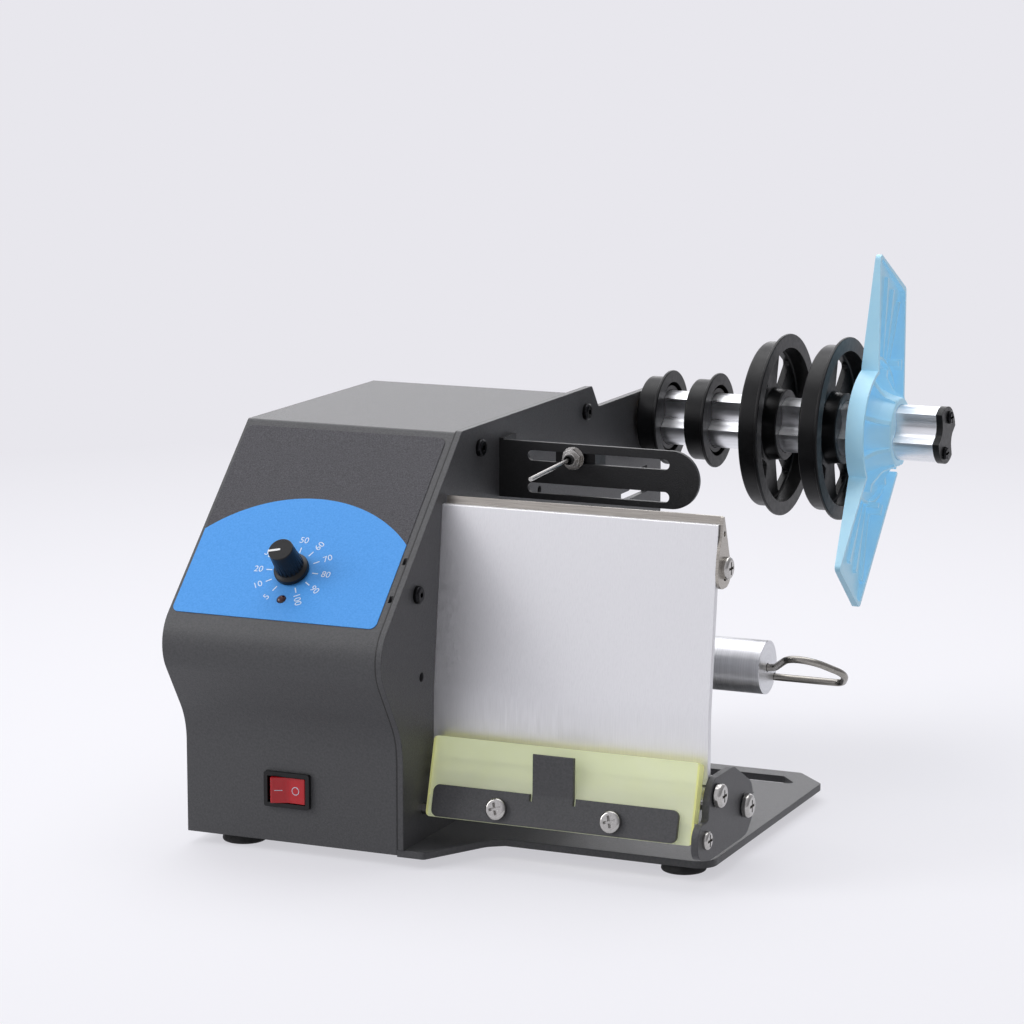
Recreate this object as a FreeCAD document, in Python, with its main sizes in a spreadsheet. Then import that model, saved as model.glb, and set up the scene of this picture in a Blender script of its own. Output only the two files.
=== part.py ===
import FreeCAD, Part
import math
import os
import Sketcher

# Desk label dispenser: a sheet metal housing on the left of a steel frame plate, a front panel with a
# peel blade, a pressure flap, a rewind spool with a wire clip and a lobed reel shaft with hubs behind.
# All lengths are millimetres. X runs right, Y back and Z up, with x zero at the frame plate's right
# face, y zero at the housing's lower front face and z zero under the base plate.

doc = FreeCAD.newDocument("LabelDispenser")
sheet = doc.addObject("Spreadsheet::Sheet", "Dims")

SIZES = {
    # Frame plate
    "plate_thickness": 3.0,
    "frame_front": -0.5,
    "frame_bottom": 3.0,
    "frame_back": 186.0,
    "frame_knee_z": 50.0,
    "arm_behind": 18.0,
    "arm_under": 53.5,
    "arm_over": 12.8,
    "arm_neck_y": 209.3,
    "frame_top": 168.7,
    "frame_top_back": 201.4,
    "frame_top_front": 58.9,
    "frame_nose_y": -25.6,
    "frame_nose_z": 86.9,
    "frame_waist_z": 48.6,
    "nose_radius": 18.0,
    "waist_radius": 30.0,
    "knee_radius": 24.0,
    "arm_corner_radius": 8.0,
    "corner_small": 2.0,
    "foot_flange_width": 23.0,
    "foot_flange_front": 12.0,
    "foot_flange_back": 176.0,
    "window_ahead": 32.6,
    "window_ahead_one": 22.7,
    "window_ahead_two": 8.9,
    "window_under": 36.3,
    "window_under_step": 32.3,
    "window_under_top": 23.5,
    "plain_hole_one_y": 17.8,
    "plain_hole_one_z": 72.2,
    "plain_hole_two_y": 140.9,
    "plain_hole_two_z": 130.6,
    "plain_hole_radius": 2.0,
    "button_one_y": 76.6,
    "button_one_z": 159.1,
    "button_two_y": 193.8,
    "button_two_z": 158.0,
    "button_three_y": 13.9,
    "button_three_z": 107.6,
    "bracket_screw_y": 105.0,
    "bracket_screw_low": 140.0,
    "bracket_screw_high": 155.0,
    "bar_screw_z": 124.0,
    "flange_screw_x": -13.0,
    "flange_screw_one": 30.0,
    "flange_screw_two": 96.0,
    "flange_screw_three": 160.0,
    # Base plate
    "base_thickness": 3.0,
    "base_left": -98.3,
    "base_front_left": 2.3,
    "base_step_x": -3.1,
    "base_toe_x": 9.0,
    "base_bend_x": 24.6,
    "base_bend_y": 28.3,
    "base_inner_x": 31.0,
    "base_front": 32.8,
    "base_right": 121.8,
    "base_chamfer_y": 171.8,
    "base_chamfer_x": 107.6,
    "base_back": 186.4,
    "base_back_left": 179.9,
    "slot_left": 40.0,
    "slot_front": 166.3,
    "slot_back": 177.5,
    "slot_right_front": 112.3,
    "slot_right_back": 102.7,
    "pin_hole_x": 98.6,
    "pin_hole_y": 145.3,
    "pin_hole_radius": 1.4,
    "lip_height": 14.0,
    "lip_thickness": 2.0,
    "lip_front": 20.0,
    "lip_back": 160.0,
    "lip_screw_front": 40.0,
    "lip_screw_back": 140.0,
    "lip_screw_z": 8.5,
    "foot_hole_skin": 0.4,
    # Housing cover
    "cover_left": -100.6,
    "cover_right": -3.2,
    "cover_skin": 2.0,
    "cover_bottom": 0.6,
    "waist_z": 48.8,
    "nose_y": -24.7,
    "nose_z": 87.0,
    "slope_top_y": 59.2,
    "cover_top": 168.0,
    "cover_back": 182.2,
    "cover_waist_radius": 30.0,
    "cover_nose_radius": 18.0,
    "slope_angle": 44.0,
    "lug_reach": 2.0,
    "lug_top_front": 68.0,
    "lug_top_back": 85.0,
    "lug_top_bottom": 152.0,
    "lug_slope_front": 7.0,
    "lug_slope_back": 21.0,
    "lug_slope_bottom": 101.0,
    "lug_slope_top_front": 115.6,
    "lug_slope_top_back": 129.1,
    "notch_depth": 1.6,
    "notch_height": 2.4,
    "notch_low_y": -3.5,
    "notch_low_z": 108.2,
    "notch_high_y": 9.9,
    "notch_high_z": 121.4,
    "notch_reach": 2.6,
    "seam_mark_one": 62.2,
    "seam_mark_two": 81.2,
    "seam_mark_width": 1.6,
    "rear_inset": 0.2,
    "rear_bottom": 3.1,
    "rear_flange": 16.0,
    "rear_foot_inset": 4.0,
    "rear_foot_short": 22.0,
    "rear_screw_left": -60.0,
    "rear_screw_right": -34.0,
    "rear_screw_y": 172.0,
    "vent_width": 44.0,
    "vent_height": 3.0,
    "vent_count": 7,
    "vent_pitch": 8.0,
    "vent_x": -50.0,
    "vent_z": 90.0,
    "inlet_x": -72.0,
    "inlet_z": 30.0,
    "inlet_radius": 5.5,
    "inlet_flange": 7.5,
    "inlet_length": 14.0,
    "inlet_lip": 1.2,
    "inlet_floor": 3.0,
    "inlet_bore": 3.2,
    "inlet_pin": 1.0,
    # Controls on the slope
    "overlay_thickness": 0.25,
    "overlay_left": -99.3,
    "overlay_right": -6.0,
    "overlay_top": -3.5,
    "overlay_bottom": -101.0,
    "overlay_radius": 3.0,
    "dial_x": -52.0,
    "dial_s": -76.3,
    "led_s": -90.6,
    "bushing_radius": 4.0,
    "bushing_hole": 4.1,
    "bushing_top": 3.0,
    "pot_half": 8.5,
    "pot_depth": 10.0,
    "pot_shaft_radius": 3.0,
    "pot_bore": 3.06,
    "pot_shaft_top": 13.2,
    "pot_shaft_bottom": -7.0,
    "pot_end_gap": 0.2,
    "pot_nut_radius": 5.2,
    "pot_nut_height": 2.0,
    "knob_bottom": 0.8,
    "knob_skirt_radius": 7.5,
    "knob_skirt_top": 3.7,
    "knob_body_radius": 6.0,
    "knob_top_radius": 5.3,
    "knob_top": 15.5,
    "knob_recess_radius": 6.3,
    "knob_recess_top": 3.1,
    "knob_bore_top": 13.4,
    "knob_skirt_chamfer": 1.0,
    "knob_edge_round": 0.8,
    "knob_top_round": 0.4,
    "knob_flute_rise": 0.2,
    "knob_flute_out": 0.1,
    "pointer_root": 0.1,
    "flute_radius": 0.55,
    "flute_count": 20,
    "pointer_width": 1.0,
    "pointer_depth": 0.5,
    "pointer_proud": 0.08,
    "pointer_angle": 194.0,
    "led_radius": 2.0,
    "led_flange": 2.7,
    "led_top": 1.1,
    "led_length": 6.0,
    "led_dome_round": 1.4,
    # Rocker switch
    "rocker_x": -53.0,
    "rocker_z": 23.2,
    "bezel_half_width": 10.5,
    "bezel_half_height": 7.5,
    "bezel_proud": 1.8,
    "bezel_body_half_width": 9.6,
    "bezel_body_half_height": 6.6,
    "bezel_depth": 19.0,
    "bezel_open_half_width": 8.8,
    "bezel_open_half_height": 5.7,
    "bezel_open_depth": 9.5,
    "rocker_half_width": 7.6,
    "rocker_half_height": 5.4,
    "rocker_tip": 6.0,
    "rocker_valley": 4.2,
    "rocker_waist": 7.9,
    "rocker_back": 2.5,
    "rocker_back_half": 5.0,
    "rocker_pivot_y": 3.2,
    "rocker_boss": 1.2,
    "rocker_side_gap": 0.1,
    "bezel_gap": 0.1,
    "rocker_tip_round": 0.6,
    "rocker_valley_round": 6.0,
    "rocker_tilt": 10.0,
    # Front panel and peel blade
    "panel_right": 121.6,
    "panel_sheet": 3.0,
    "panel_foot_y": 29.6,
    "panel_foot_z": 36.2,
    "panel_bend_y": 29.8,
    "panel_bend_z": 64.0,
    "panel_top_y": 39.0,
    "panel_top_z": 141.2,
    "panel_bend_radius": 60.0,
    "panel_edge_round": 0.4,
    "panel_screw_one": 25.0,
    "panel_screw_two": 97.0,
    "panel_screw_z": 125.0,
    "panel_screw_bite": 1.8,
    "blade_thickness": 1.2,
    "blade_left": 0.6,
    "blade_proud": 3.1,
    "blade_flange_reach": 5.5,
    "blade_edge_round": 0.6,
    "blade_lap": 0.2,
    "bar_top_z": 131.0,
    "bar_bottom_z": 116.0,
    "bar_back_y": 47.5,
    "ear_screw_y": 44.0,
    "ear_screw_z": 123.0,
    "ear_slot_half": 2.3,
    "ear_slot_travel": 3.0,
    "ear_tip_y": 41.3,
    "ear_tip_z": 145.7,
    "ear_heel_y": 53.3,
    "ear_foot_z": 114.8,
    "ear_toe_y": 36.0,
    "ear_round": 6.2,
    "ear_tip_back": 1.2,
    "ear_tip_front": 0.2,
    "ear_tip_drop": 1.4,
    "ear_neck_round": 3.0,
    "ear_shoulder_round": 8.0,
    "ear_hole_z": 137.2,
    "ear_hole_back": 1.2,
    "ear_hole_radius": 1.1,
    "ear_front_y": 35.4,
    "ear_front_z": 122.0,
    "ear_shoulder_y": 36.8,
    "ear_shoulder_z": 130.5,
    "ear_neck_y": 39.8,
    "ear_neck_z": 136.5,
    # End plate, rods, flap
    "end_left": 121.7,
    "end_thickness": 3.0,
    "rod_one_y": 31.5,
    "rod_one_z": 32.0,
    "rod_two_y": 64.5,
    "rod_two_z": 19.8,
    "rod_radius": 4.0,
    "rod_thread_depth": 10.0,
    "pivot_y": 19.12,
    "pivot_z": 16.34,
    "pin_radius": 2.3,
    "pin_shoulder": 4.4,
    "pin_spigot": 1.3,
    "pin_thread_depth": 3.9,
    "pin_fit": 0.05,
    "pin_reach": 12.5,
    "end_toe_y": 10.9,
    "end_toe_low": 10.0,
    "end_toe_high": 23.2,
    "end_toe_radius": 6.0,
    "end_sole_front": 24.0,
    "end_flat_z": 6.6,
    "end_sole_back": 68.0,
    "end_sole_radius": 9.0,
    "end_back_y": 75.0,
    "end_back_low": 13.0,
    "end_back_high": 27.0,
    "end_crown_back": 52.0,
    "end_crown_back_z": 39.2,
    "end_crown_front": 28.0,
    "end_crown_z": 39.4,
    "end_crown_radius": 7.5,
    "end_brow_y": 23.6,
    "end_brow_z": 31.0,
    "end_throat_y": 22.6,
    "flap_left": 2.6,
    "flap_right": 120.2,
    "flap_sheet": 5.0,
    "flap_foot_y": 15.4,
    "flap_foot_z": 14.3,
    "flap_length": 33.5,
    "flap_lean": 16.2,
    "hinge_bar_left": 4.5,
    "hinge_bar_sheet": 4.0,
    "hinge_bar_high": 9.0,
    "hinge_bore_depth": 9.0,
    "clamp_left": 5.8,
    "clamp_right": 114.0,
    "clamp_low": 0.2,
    "clamp_high": 13.6,
    "clamp_sheet": 2.0,
    "clamp_corner": 3.0,
    "tab_left": 50.0,
    "tab_right": 68.0,
    "tab_high": 30.0,
    "tab_tilt_reach": 4.4,
    "tab_relief": 1.2,
    "tab_relief_depth": 3.0,
    "clamp_screw_length": 6.9,
    "clamp_screw_one": 35.0,
    "clamp_screw_two": 85.5,
    "clamp_screw_s": 6.0,
    # Rewind spool
    "spool_y": 95.5,
    "spool_z": 71.4,
    "spool_radius": 11.3,
    "spool_left": 2.0,
    "spool_right": 123.2,
    "spool_journal": 6.0,
    "spool_tail": -24.0,
    "clip_wire": 1.5,
    "clip_bore": 1.9,
    "clip_bore_depth": 62.0,
    "clip_leg": 56.0,
    "clip_angle": -33.6,
    "clip_offset": 10.6,
    "clip_side": 12.6,
    "clip_length": 32.0,
    "clip_first_bend": 3.0,
    "clip_shoulder": 12.5,
    "clip_widest": 19.0,
    "clip_widest_over": 4.0,
    "clip_point_over": 2.4,
    "clip_point_back": 2.0,
    "clip_bend_first": 5.0,
    "clip_bend_side": 8.0,
    "clip_bend_wide": 14.0,
    "clip_bend_last": 4.5,
    "bush_radius": 9.0,
    "bush_flange": 12.5,
    "bush_flange_thickness": 2.0,
    "bush_inner": -9.0,
    "bush_face": 0.8,
    "motor_radius": 18.5,
    "motor_left": -92.0,
    "motor_right": -32.0,
    "motor_can_radius": 14.5,
    "motor_gear_left": -62.0,
    "motor_shaft_radius": 3.0,
    "motor_bore_depth": 8.0,
    "motor_shaft_seat": 7.5,
    "motor_edge_round": 0.8,
    "motor_end_round": 1.2,
    "motor_shaft_gap": 0.5,
    "coupling_gap": 0.3,
    "coupling_inset": 4.0,
    "coupling_edge_round": 0.5,
    "coupling_radius": 8.5,
    "standoff_offset": 11.2,
    "standoff_radius": 3.0,
    # Reel
    "reel_y": 270.0,
    "reel_z": 145.5,
    "bar_radius": 12.7,
    "bar_left": 1.2,
    "bar_right": 143.5,
    "flute_angle": -19.5,
    "flute_apex": 5.8,
    "flute_round": 6.0,
    "flute_reach": 9.8,
    "flute_spread": 13.6,
    "key_shoulder": 5.2,
    "key_shoulder_half": 7.22,
    "key_root": 7.5,
    "key_root_half": 4.6,
    "bar_journal": 5.0,
    "bar_tail": -16.5,
    "reel_bush_radius": 8.0,
    "reel_bush_flange": 11.5,
    "reel_bush_inner": -5.6,
    "reel_bush_face": 0.4,
    "brake_disc_radius": 10.5,
    "brake_disc_thickness": 2.0,
    "brake_spring_radius": 9.0,
    "brake_spring_thickness": 0.9,
    "brake_spring_rise": 0.9,
    "brake_spring_waist": 1.4,
    "brake_spring_neck": 2.0,
    "brake_nut_radius": 7.2,
    "brake_nut_thickness": 4.0,
    "hub_fit": 0.25,
    "cap_thickness": 3.0,
    "cap_grow": 0.4,
    "cap_screw_y": 3.1,
    "cap_screw_z": 7.8,
    "small_drum_radius": 18.85,
    "small_flange_radius": 22.1,
    "small_wall": 2.2,
    "small_width": 10.8,
    "small_one_x": 1.8,
    "small_two_x": 25.3,
    "small_boss_radius": 15.0,
    "small_web": 5.0,
    "small_boss_height": 9.8,
    "hub_flange_thickness": 1.6,
    "hub_edge_round": 0.5,
    "hub_foot_round": 1.0,
    "hub_rim_round": 0.8,
    "large_drum_radius": 38.2,
    "large_flange_radius": 42.2,
    "large_wall": 2.4,
    "large_width": 10.5,
    "large_one_x": 59.1,
    "large_two_x": 87.9,
    "large_web": 3.0,
    "large_boss_radius": 16.4,
    "large_window_inner": 18.6,
    "large_window_outer": 34.6,
    "large_spoke_half_inner": 7.0,
    "large_spoke_half_outer": 11.5,
    "large_window_count": 6,
    "window_corner_inner": 1.5,
    "window_corner_outer": 2.0,
    # Guide blade
    "guide_rim": 116.0,
    "guide_floor": 107.8,
    "guide_tip_rise": 6.0,
    "guide_wall": 1.7,
    "guide_sheet": 1.8,
    "guide_hub_end": 124.5,
    "guide_hub_radius": 18.0,
    "guide_hub_neck": 15.6,
    "guide_bulge": 29.8,
    "guide_up_near": -8.0,
    "guide_up_far": 32.0,
    "guide_up_tip": 83.0,
    "guide_up_far_tip": 62.5,
    "guide_arm_turn": 135.0,
    "guide_low_near": -4.0,
    "guide_low_far": 33.5,
    "guide_low_tip": 80.5,
    "guide_low_far_tip": 76.0,
    "guide_taper_start": 30.0,
    "guide_reach": 95.0,
    "guide_half_width": 48.0,
    "guide_tool_margin": 8.0,
    "guide_far_corner": 3.0,
    "guide_tip_corner": 2.0,
    "guide_rib_root_width": 0.9,
    "guide_rib_tip_width": 2.2,
    "guide_rib_height": 1.6,
    "guide_rib_root": 30.0,
    "guide_rib_root_step": 2.4,
    "guide_rib_root_across": 18.3,
    "guide_rib_root_gap": 4.9,
    "guide_rib_tip_gap": 11.2,
    "guide_up_rib_across": 17.0,
    "guide_up_rib_long": 70.0,
    "guide_up_rib_step": 6.8,
    "guide_low_rib_across": 19.2,
    "guide_low_rib_long": 68.0,
    "guide_low_rib_step": 2.4,
    "guide_arc_inner": 32.6,
    "guide_arc_outer": 34.1,
    "guide_arc_height": 2.4,
    "guide_dome_middle": 20.0,
    "guide_dome_base": 23.5,
    "guide_bump": 1.0,
    "guide_bump_count": 8,
    "guide_bump_turn": 22.5,
    # Sensor
    "bracket_front": 97.3,
    "bracket_sheet": 2.0,
    "bracket_right": 91.2,
    "bracket_bottom": 135.0,
    "bracket_top": 159.7,
    "bracket_flange_back": 111.0,
    "bracket_flange_top": 160.5,
    "slot_start": 13.2,
    "slot_end": 77.9,
    "slot_upper": 153.75,
    "slot_lower": 139.85,
    "slot_half": 2.25,
    "sensor_x": 34.4,
    "sensor_bush_radius": 2.1,
    "sensor_bush_proud": 6.2,
    "sensor_bush_bore": 1.6,
    "sensor_bush_bore_depth": 4.2,
    "sensor_body_half": 9.0,
    "sensor_body_depth": 12.0,
    "sensor_body_bottom": 143.5,
    "sensor_body_top": 157.0,
    "sensor_washer_radius": 4.9,
    "sensor_washer_height": 0.7,
    "sensor_nut_radius": 4.5,
    "sensor_nut_height": 2.6,
    "sensor_collar_radius": 2.9,
    "sensor_collar_height": 1.8,
    "lever_inset": 1.6,
    "lever_end_y": 51.3,
    "lever_drop": 1.8,
    "lever_radius": 0.95,
    "lever_eye": 1.2,
    "lever_pin": 0.5,
    "lever_half": 0.75,
    # Feet and screws
    "foot_height": 4.5,
    "foot_radius": 9.7,
    "foot_top_radius": 8.6,
    "foot_recess": 2.6,
    "foot_recess_gap": 0.4,
    "foot_edge_round": 1.0,
    "foot_left_x": -81.0,
    "foot_left_front": 14.0,
    "foot_left_back": 166.0,
    "foot_right_x": 106.0,
    "foot_right_front": 44.5,
    "foot_right_back": 152.0,
    "stiffener_sheet": 2.5,
    "stiffener_front": 187.5,
    "stiffener_back": 249.0,
    "stiffener_low": 150.5,
    "stiffener_slant": 22.0,
    "stiffener_corner": 4.0,
    "stiffener_margin": 1.0,
    "stiffener_neck": 4.0,
    "stiffener_step": 12.0,
    "stiffener_lift": 5.0,
    "screw_four": 2.0,
    "screw_four_hole": 2.05,
    "screw_three": 1.5,
    "screw_three_hole": 1.55,
    "button_radius": 3.8,
    "button_height": 2.2,
    "button_socket": 1.3,
    "pan_radius": 5.0,
    "pan_height": 3.0,
    "button_length": 4.9,
    "small_screw_length": 7.0,
    "rod_screw_length": 9.5,
    "ear_screw_length": 9.0,
    "cap_screw_length": 9.0,
    "foot_screw_length": 4.4,
    "foot_screw_height": 1.6,
    "cross_half": 0.55,
    "cross_reach": 2.6,
    "cross_depth": 1.5,
    "washer_height": 0.6,
    "washer_radius": 4.3,
    "board_x": -60.0,
    "board_y": 135.0,
    "board_half_x": 30.0,
    "board_half_y": 24.0,
    "board_screw_inset": 4.0,
    "block_inset": 10.0,
    "block_right_inset": 14.0,
    "block_front_inset": 2.0,
    "block_depth": 7.0,
    "block_height": 9.0,
    "sink_inset": 12.0,
    "sink_width": 18.0,
    "sink_depth": 6.0,
    "sink_height": 14.0,
    "capacitor_inset": 14.0,
    "capacitor_radius": 5.0,
    "capacitor_height": 11.0,
    "solder_depth": 0.2,
    "board_z": 12.0,
    "board_sheet": 1.6,
    "overrun": 1.0,
    "running_hair": 0.01,
    "hair_gap": 0.05,
    "frame_shift_x": 0.0,
    "frame_shift_y": 0.0,
    "frame_shift_z": 0.0,
}


class Size:
    """A number together with the spreadsheet expression that gives it."""

    def __init__(self, value, text):
        self.value = float(value)
        self.text = text

    def mixed(self, other, sign, result):
        return Size(result, "(%s %s %s)" % (self.text, sign, other.text))

    def __add__(self, other):
        other = as_size(other)
        return self.mixed(other, "+", self.value + other.value)

    def __radd__(self, other):
        return as_size(other) + self

    def __sub__(self, other):
        other = as_size(other)
        return self.mixed(other, "-", self.value - other.value)

    def __rsub__(self, other):
        return as_size(other) - self

    def __mul__(self, other):
        other = as_size(other)
        return self.mixed(other, "*", self.value * other.value)

    def __rmul__(self, other):
        return as_size(other) * self

    def __truediv__(self, other):
        other = as_size(other)
        return self.mixed(other, "/", self.value / other.value)

    def __neg__(self):
        return Size(-self.value, "(0 - %s)" % self.text)


def as_size(item):
    if isinstance(item, Size):
        return item
    return Size(item, repr(float(item)))


def sin(angle):
    angle = as_size(angle)
    return Size(math.sin(math.radians(angle.value)), "sin(%s * 1 deg)" % angle.text)


def cos(angle):
    angle = as_size(angle)
    return Size(math.cos(math.radians(angle.value)), "cos(%s * 1 deg)" % angle.text)


row = 0
for alias in SIZES:
    row = row + 1
    sheet.set("A%d" % row, alias)
    sheet.set("B%d" % row, repr(SIZES[alias]))
    sheet.setAlias("B%d" % row, alias)
doc.recompute()


def d(alias):
    return Size(SIZES[alias], "Dims.%s" % alias)


# Drawing helpers

ZERO = Size(0.0, "0")
over = d("overrun")
YZ = "YZ_Plane"
XZ = "XZ_Plane"
XY = "XY_Plane"


def new_body(label):
    return doc.addObject("PartDesign::Body", label)


def origin_plane(host, role):
    for item in host.Origin.OriginFeatures:
        if item.Role == role:
            return item
    raise RuntimeError("no plane " + role)


def new_sketch(host, name, role, offset, turn=None):
    """A sketch on one of the body's planes, moved along its normal and turned about its first axis."""
    drawing = host.newObject("Sketcher::SketchObject", name)
    drawing.AttachmentSupport = [(origin_plane(host, role), "")]
    drawing.MapMode = "FlatFace"
    rotation = FreeCAD.Rotation()
    if turn is not None:
        rotation = FreeCAD.Rotation(FreeCAD.Vector(1, 0, 0), turn.value)
    across = FreeCAD.Vector(0, 0, offset.value)
    drawing.AttachmentOffset = FreeCAD.Placement(rotation.multVec(across), rotation)
    if turn is None:
        drawing.setExpression("AttachmentOffset.Base.z", offset.text)
    return drawing


def fixed_point(rules, geometry, position, u, v):
    rules.append((Sketcher.Constraint("DistanceX", -1, 1, geometry, position, u.value), u.text))
    rules.append((Sketcher.Constraint("DistanceY", -1, 1, geometry, position, v.value), v.text))


def apply_rules(drawing, rules):
    first = drawing.ConstraintCount
    drawing.addConstraint([rule for rule, text in rules])
    for index, (rule, text) in enumerate(rules):
        if text:
            drawing.setExpression("Constraints[%d]" % (first + index), text)


def outline(corners, closed=True):
    """Straight edges through the corners (u, v) or (u, v, corner radius)."""

    def draw(drawing):
        places = []
        radii = []
        for corner in corners:
            u = as_size(corner[0])
            v = as_size(corner[1])
            places.append((u, v))
            radii.append(as_size(corner[2]) if len(corner) > 2 else None)
        count = len(places)
        points = [FreeCAD.Vector(u.value, v.value, 0) for u, v in places]
        enters = []
        leaves = []
        middles = []
        for index in range(count):
            here = points[index]
            if radii[index] is None:
                enters.append(here)
                leaves.append(here)
                middles.append(None)
                continue
            back = (points[index - 1] - here).normalize()
            ahead = (points[(index + 1) % count] - here).normalize()
            half = back.getAngle(ahead) / 2
            radius = radii[index].value
            run = radius / math.tan(half)
            enters.append(here + back * run)
            leaves.append(here + ahead * run)
            middles.append(here + (back + ahead).normalize() * (radius / math.sin(half)))
        lines = []
        edge_count = count if closed else count - 1
        for index in range(edge_count):
            line = Part.LineSegment(leaves[index], enters[(index + 1) % count])
            lines.append(drawing.addGeometry(line, False))
        rules = []
        for index in range(count):
            u, v = places[index]
            is_end = not closed and index in (0, count - 1)
            if is_end:
                if index == 0:
                    fixed_point(rules, lines[0], 1, u, v)
                else:
                    fixed_point(rules, lines[-1], 2, u, v)
                continue
            before = lines[index - 1]
            after = lines[index]
            if radii[index] is None:
                rules.append((Sketcher.Constraint("Coincident", before, 2, after, 1), None))
                fixed_point(rules, after, 1, u, v)
                continue
            back = points[index - 1] - points[index]
            ahead = points[(index + 1) % count] - points[index]
            turns_left = (-back.x) * ahead.y + back.y * ahead.x > 0
            centre = middles[index]
            enter_angle = math.atan2(enters[index].y - centre.y, enters[index].x - centre.x)
            leave_angle = math.atan2(leaves[index].y - centre.y, leaves[index].x - centre.x)
            circle = Part.Circle(centre, FreeCAD.Vector(0, 0, 1), radii[index].value)
            if turns_left:
                start, stop, enter_end, leave_end = enter_angle, leave_angle, 1, 2
            else:
                start, stop, enter_end, leave_end = leave_angle, enter_angle, 2, 1
            while stop < start:
                stop = stop + 2 * math.pi
            arc = drawing.addGeometry(Part.ArcOfCircle(circle, start, stop), False)
            mark = drawing.addGeometry(Part.Point(points[index]), True)
            rules.append((Sketcher.Constraint("Tangent", before, 2, arc, enter_end), None))
            rules.append((Sketcher.Constraint("Tangent", arc, leave_end, after, 1), None))
            rules.append((Sketcher.Constraint("Radius", arc, radii[index].value), radii[index].text))
            rules.append((Sketcher.Constraint("PointOnObject", mark, 1, before), None))
            rules.append((Sketcher.Constraint("PointOnObject", mark, 1, after), None))
            fixed_point(rules, mark, 1, u, v)
        apply_rules(drawing, rules)

    return draw


def box(left, low, right, high, radius=None):
    corners = [(left, low), (right, low), (right, high), (left, high)]
    if radius is not None:
        corners = [corner + (radius,) for corner in corners]
    return outline(corners)


def circles(places):
    """Circles (u, v, radius) in one drawing."""

    def draw(drawing):
        rules = []
        for u, v, radius in places:
            u = as_size(u)
            v = as_size(v)
            radius = as_size(radius)
            centre = FreeCAD.Vector(u.value, v.value, 0)
            ring = drawing.addGeometry(Part.Circle(centre, FreeCAD.Vector(0, 0, 1), radius.value), False)
            rules.append((Sketcher.Constraint("Radius", ring, radius.value), radius.text))
            fixed_point(rules, ring, 3, u, v)
        apply_rules(drawing, rules)

    return draw


def span(host, kind, name, role, start, end, draw, turn=None):
    """A pad or pocket from coordinate start to end along the plane's own axis."""
    start = as_size(start)
    end = as_size(end)
    length = end - start
    offset = start if role != XZ else -end
    drawing = new_sketch(host, name + "Sketch", role, offset, turn)
    draw(drawing)
    drawing.Visibility = False
    feature = host.newObject("PartDesign::" + kind, name)
    feature.Profile = drawing
    feature.Length = length.value
    feature.setExpression("Length", length.text)
    feature.Reversed = kind == "Pocket"
    return feature


def add(host, name, role, start, end, draw, turn=None):
    return span(host, "Pad", name, role, start, end, draw, turn)


def cut(host, name, role, start, end, draw, turn=None):
    return span(host, "Pocket", name, role, start, end, draw, turn)


def turned(host, name, corners, centre=(ZERO, ZERO), upright=False, groove=False):
    """A revolved profile. Corners are (x, radius) about an axis along X, or (radius, z) when upright."""
    if upright:
        offset = -centre[1]
        shifted = [(as_size(corner[0]) + centre[0],) + tuple(corner[1:]) for corner in corners]
    else:
        offset = -centre[0]
        shifted = [(corner[0], as_size(corner[1]) + centre[1]) + tuple(corner[2:]) for corner in corners]
    drawing = new_sketch(host, name + "Sketch", XZ, offset)
    outline(shifted)(drawing)
    reach = 10.0
    if upright:
        first = FreeCAD.Vector(centre[0].value, 0, 0)
        second = FreeCAD.Vector(centre[0].value, reach, 0)
    else:
        first = FreeCAD.Vector(0, centre[1].value, 0)
        second = FreeCAD.Vector(reach, centre[1].value, 0)
    axis = drawing.addGeometry(Part.LineSegment(first, second), True)
    rules = []
    if upright:
        fixed_point(rules, axis, 1, centre[0], ZERO)
        fixed_point(rules, axis, 2, centre[0], as_size(reach))
    else:
        fixed_point(rules, axis, 1, ZERO, centre[1])
        fixed_point(rules, axis, 2, as_size(reach), centre[1])
    apply_rules(drawing, rules)
    feature = host.newObject("PartDesign::Groove" if groove else "PartDesign::Revolution", name)
    feature.Profile = drawing
    feature.ReferenceAxis = (drawing, ["Axis0"])
    feature.Angle = 360
    drawing.Visibility = False
    return feature


nodes = []


def node(item, base=(ZERO, ZERO, ZERO), axis=(1, 0, 0), tilt=None):
    """Names a finished piece, with the place of its own zero point and a turn about one axis."""
    base = [as_size(value) for value in base]
    if tilt is not None:
        item.Placement = FreeCAD.Placement(FreeCAD.Vector(0, 0, 0),
                                           FreeCAD.Rotation(FreeCAD.Vector(*axis), tilt.value))
    for letter, value in zip("xyz", base):
        item.setExpression("Placement.Base." + letter, "%s + Dims.frame_shift_%s" % (value.text, letter))
    nodes.append(item)
    return item


def copies(label, master, places):
    """Identical pieces as one group: each place is (x, y, z, rotation)."""
    shapes = []
    for x, y, z, rotation in places:
        place = [as_size(value).value for value in (x, y, z)]
        piece = master.Shape.copy()
        piece.Placement = FreeCAD.Placement(FreeCAD.Vector(*place), rotation)
        shapes.append(piece)
    group = doc.addObject("Part::Feature", label)
    group.Shape = Part.makeCompound(shapes)
    node(group)
    return group


def facing(direction):
    return FreeCAD.Rotation(FreeCAD.Vector(1, 0, 0), FreeCAD.Vector(*direction))


TO_RIGHT = facing((1, 0, 0))
TO_LEFT = facing((-1, 0, 0))
TO_FRONT = facing((0, -1, 0))
TO_BACK = facing((0, 1, 0))
TO_TOP = facing((0, 0, 1))
TO_FLOOR = facing((0, 0, -1))


# Frame plate: the steel sheet that carries everything, with a foot flange on the base plate

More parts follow.
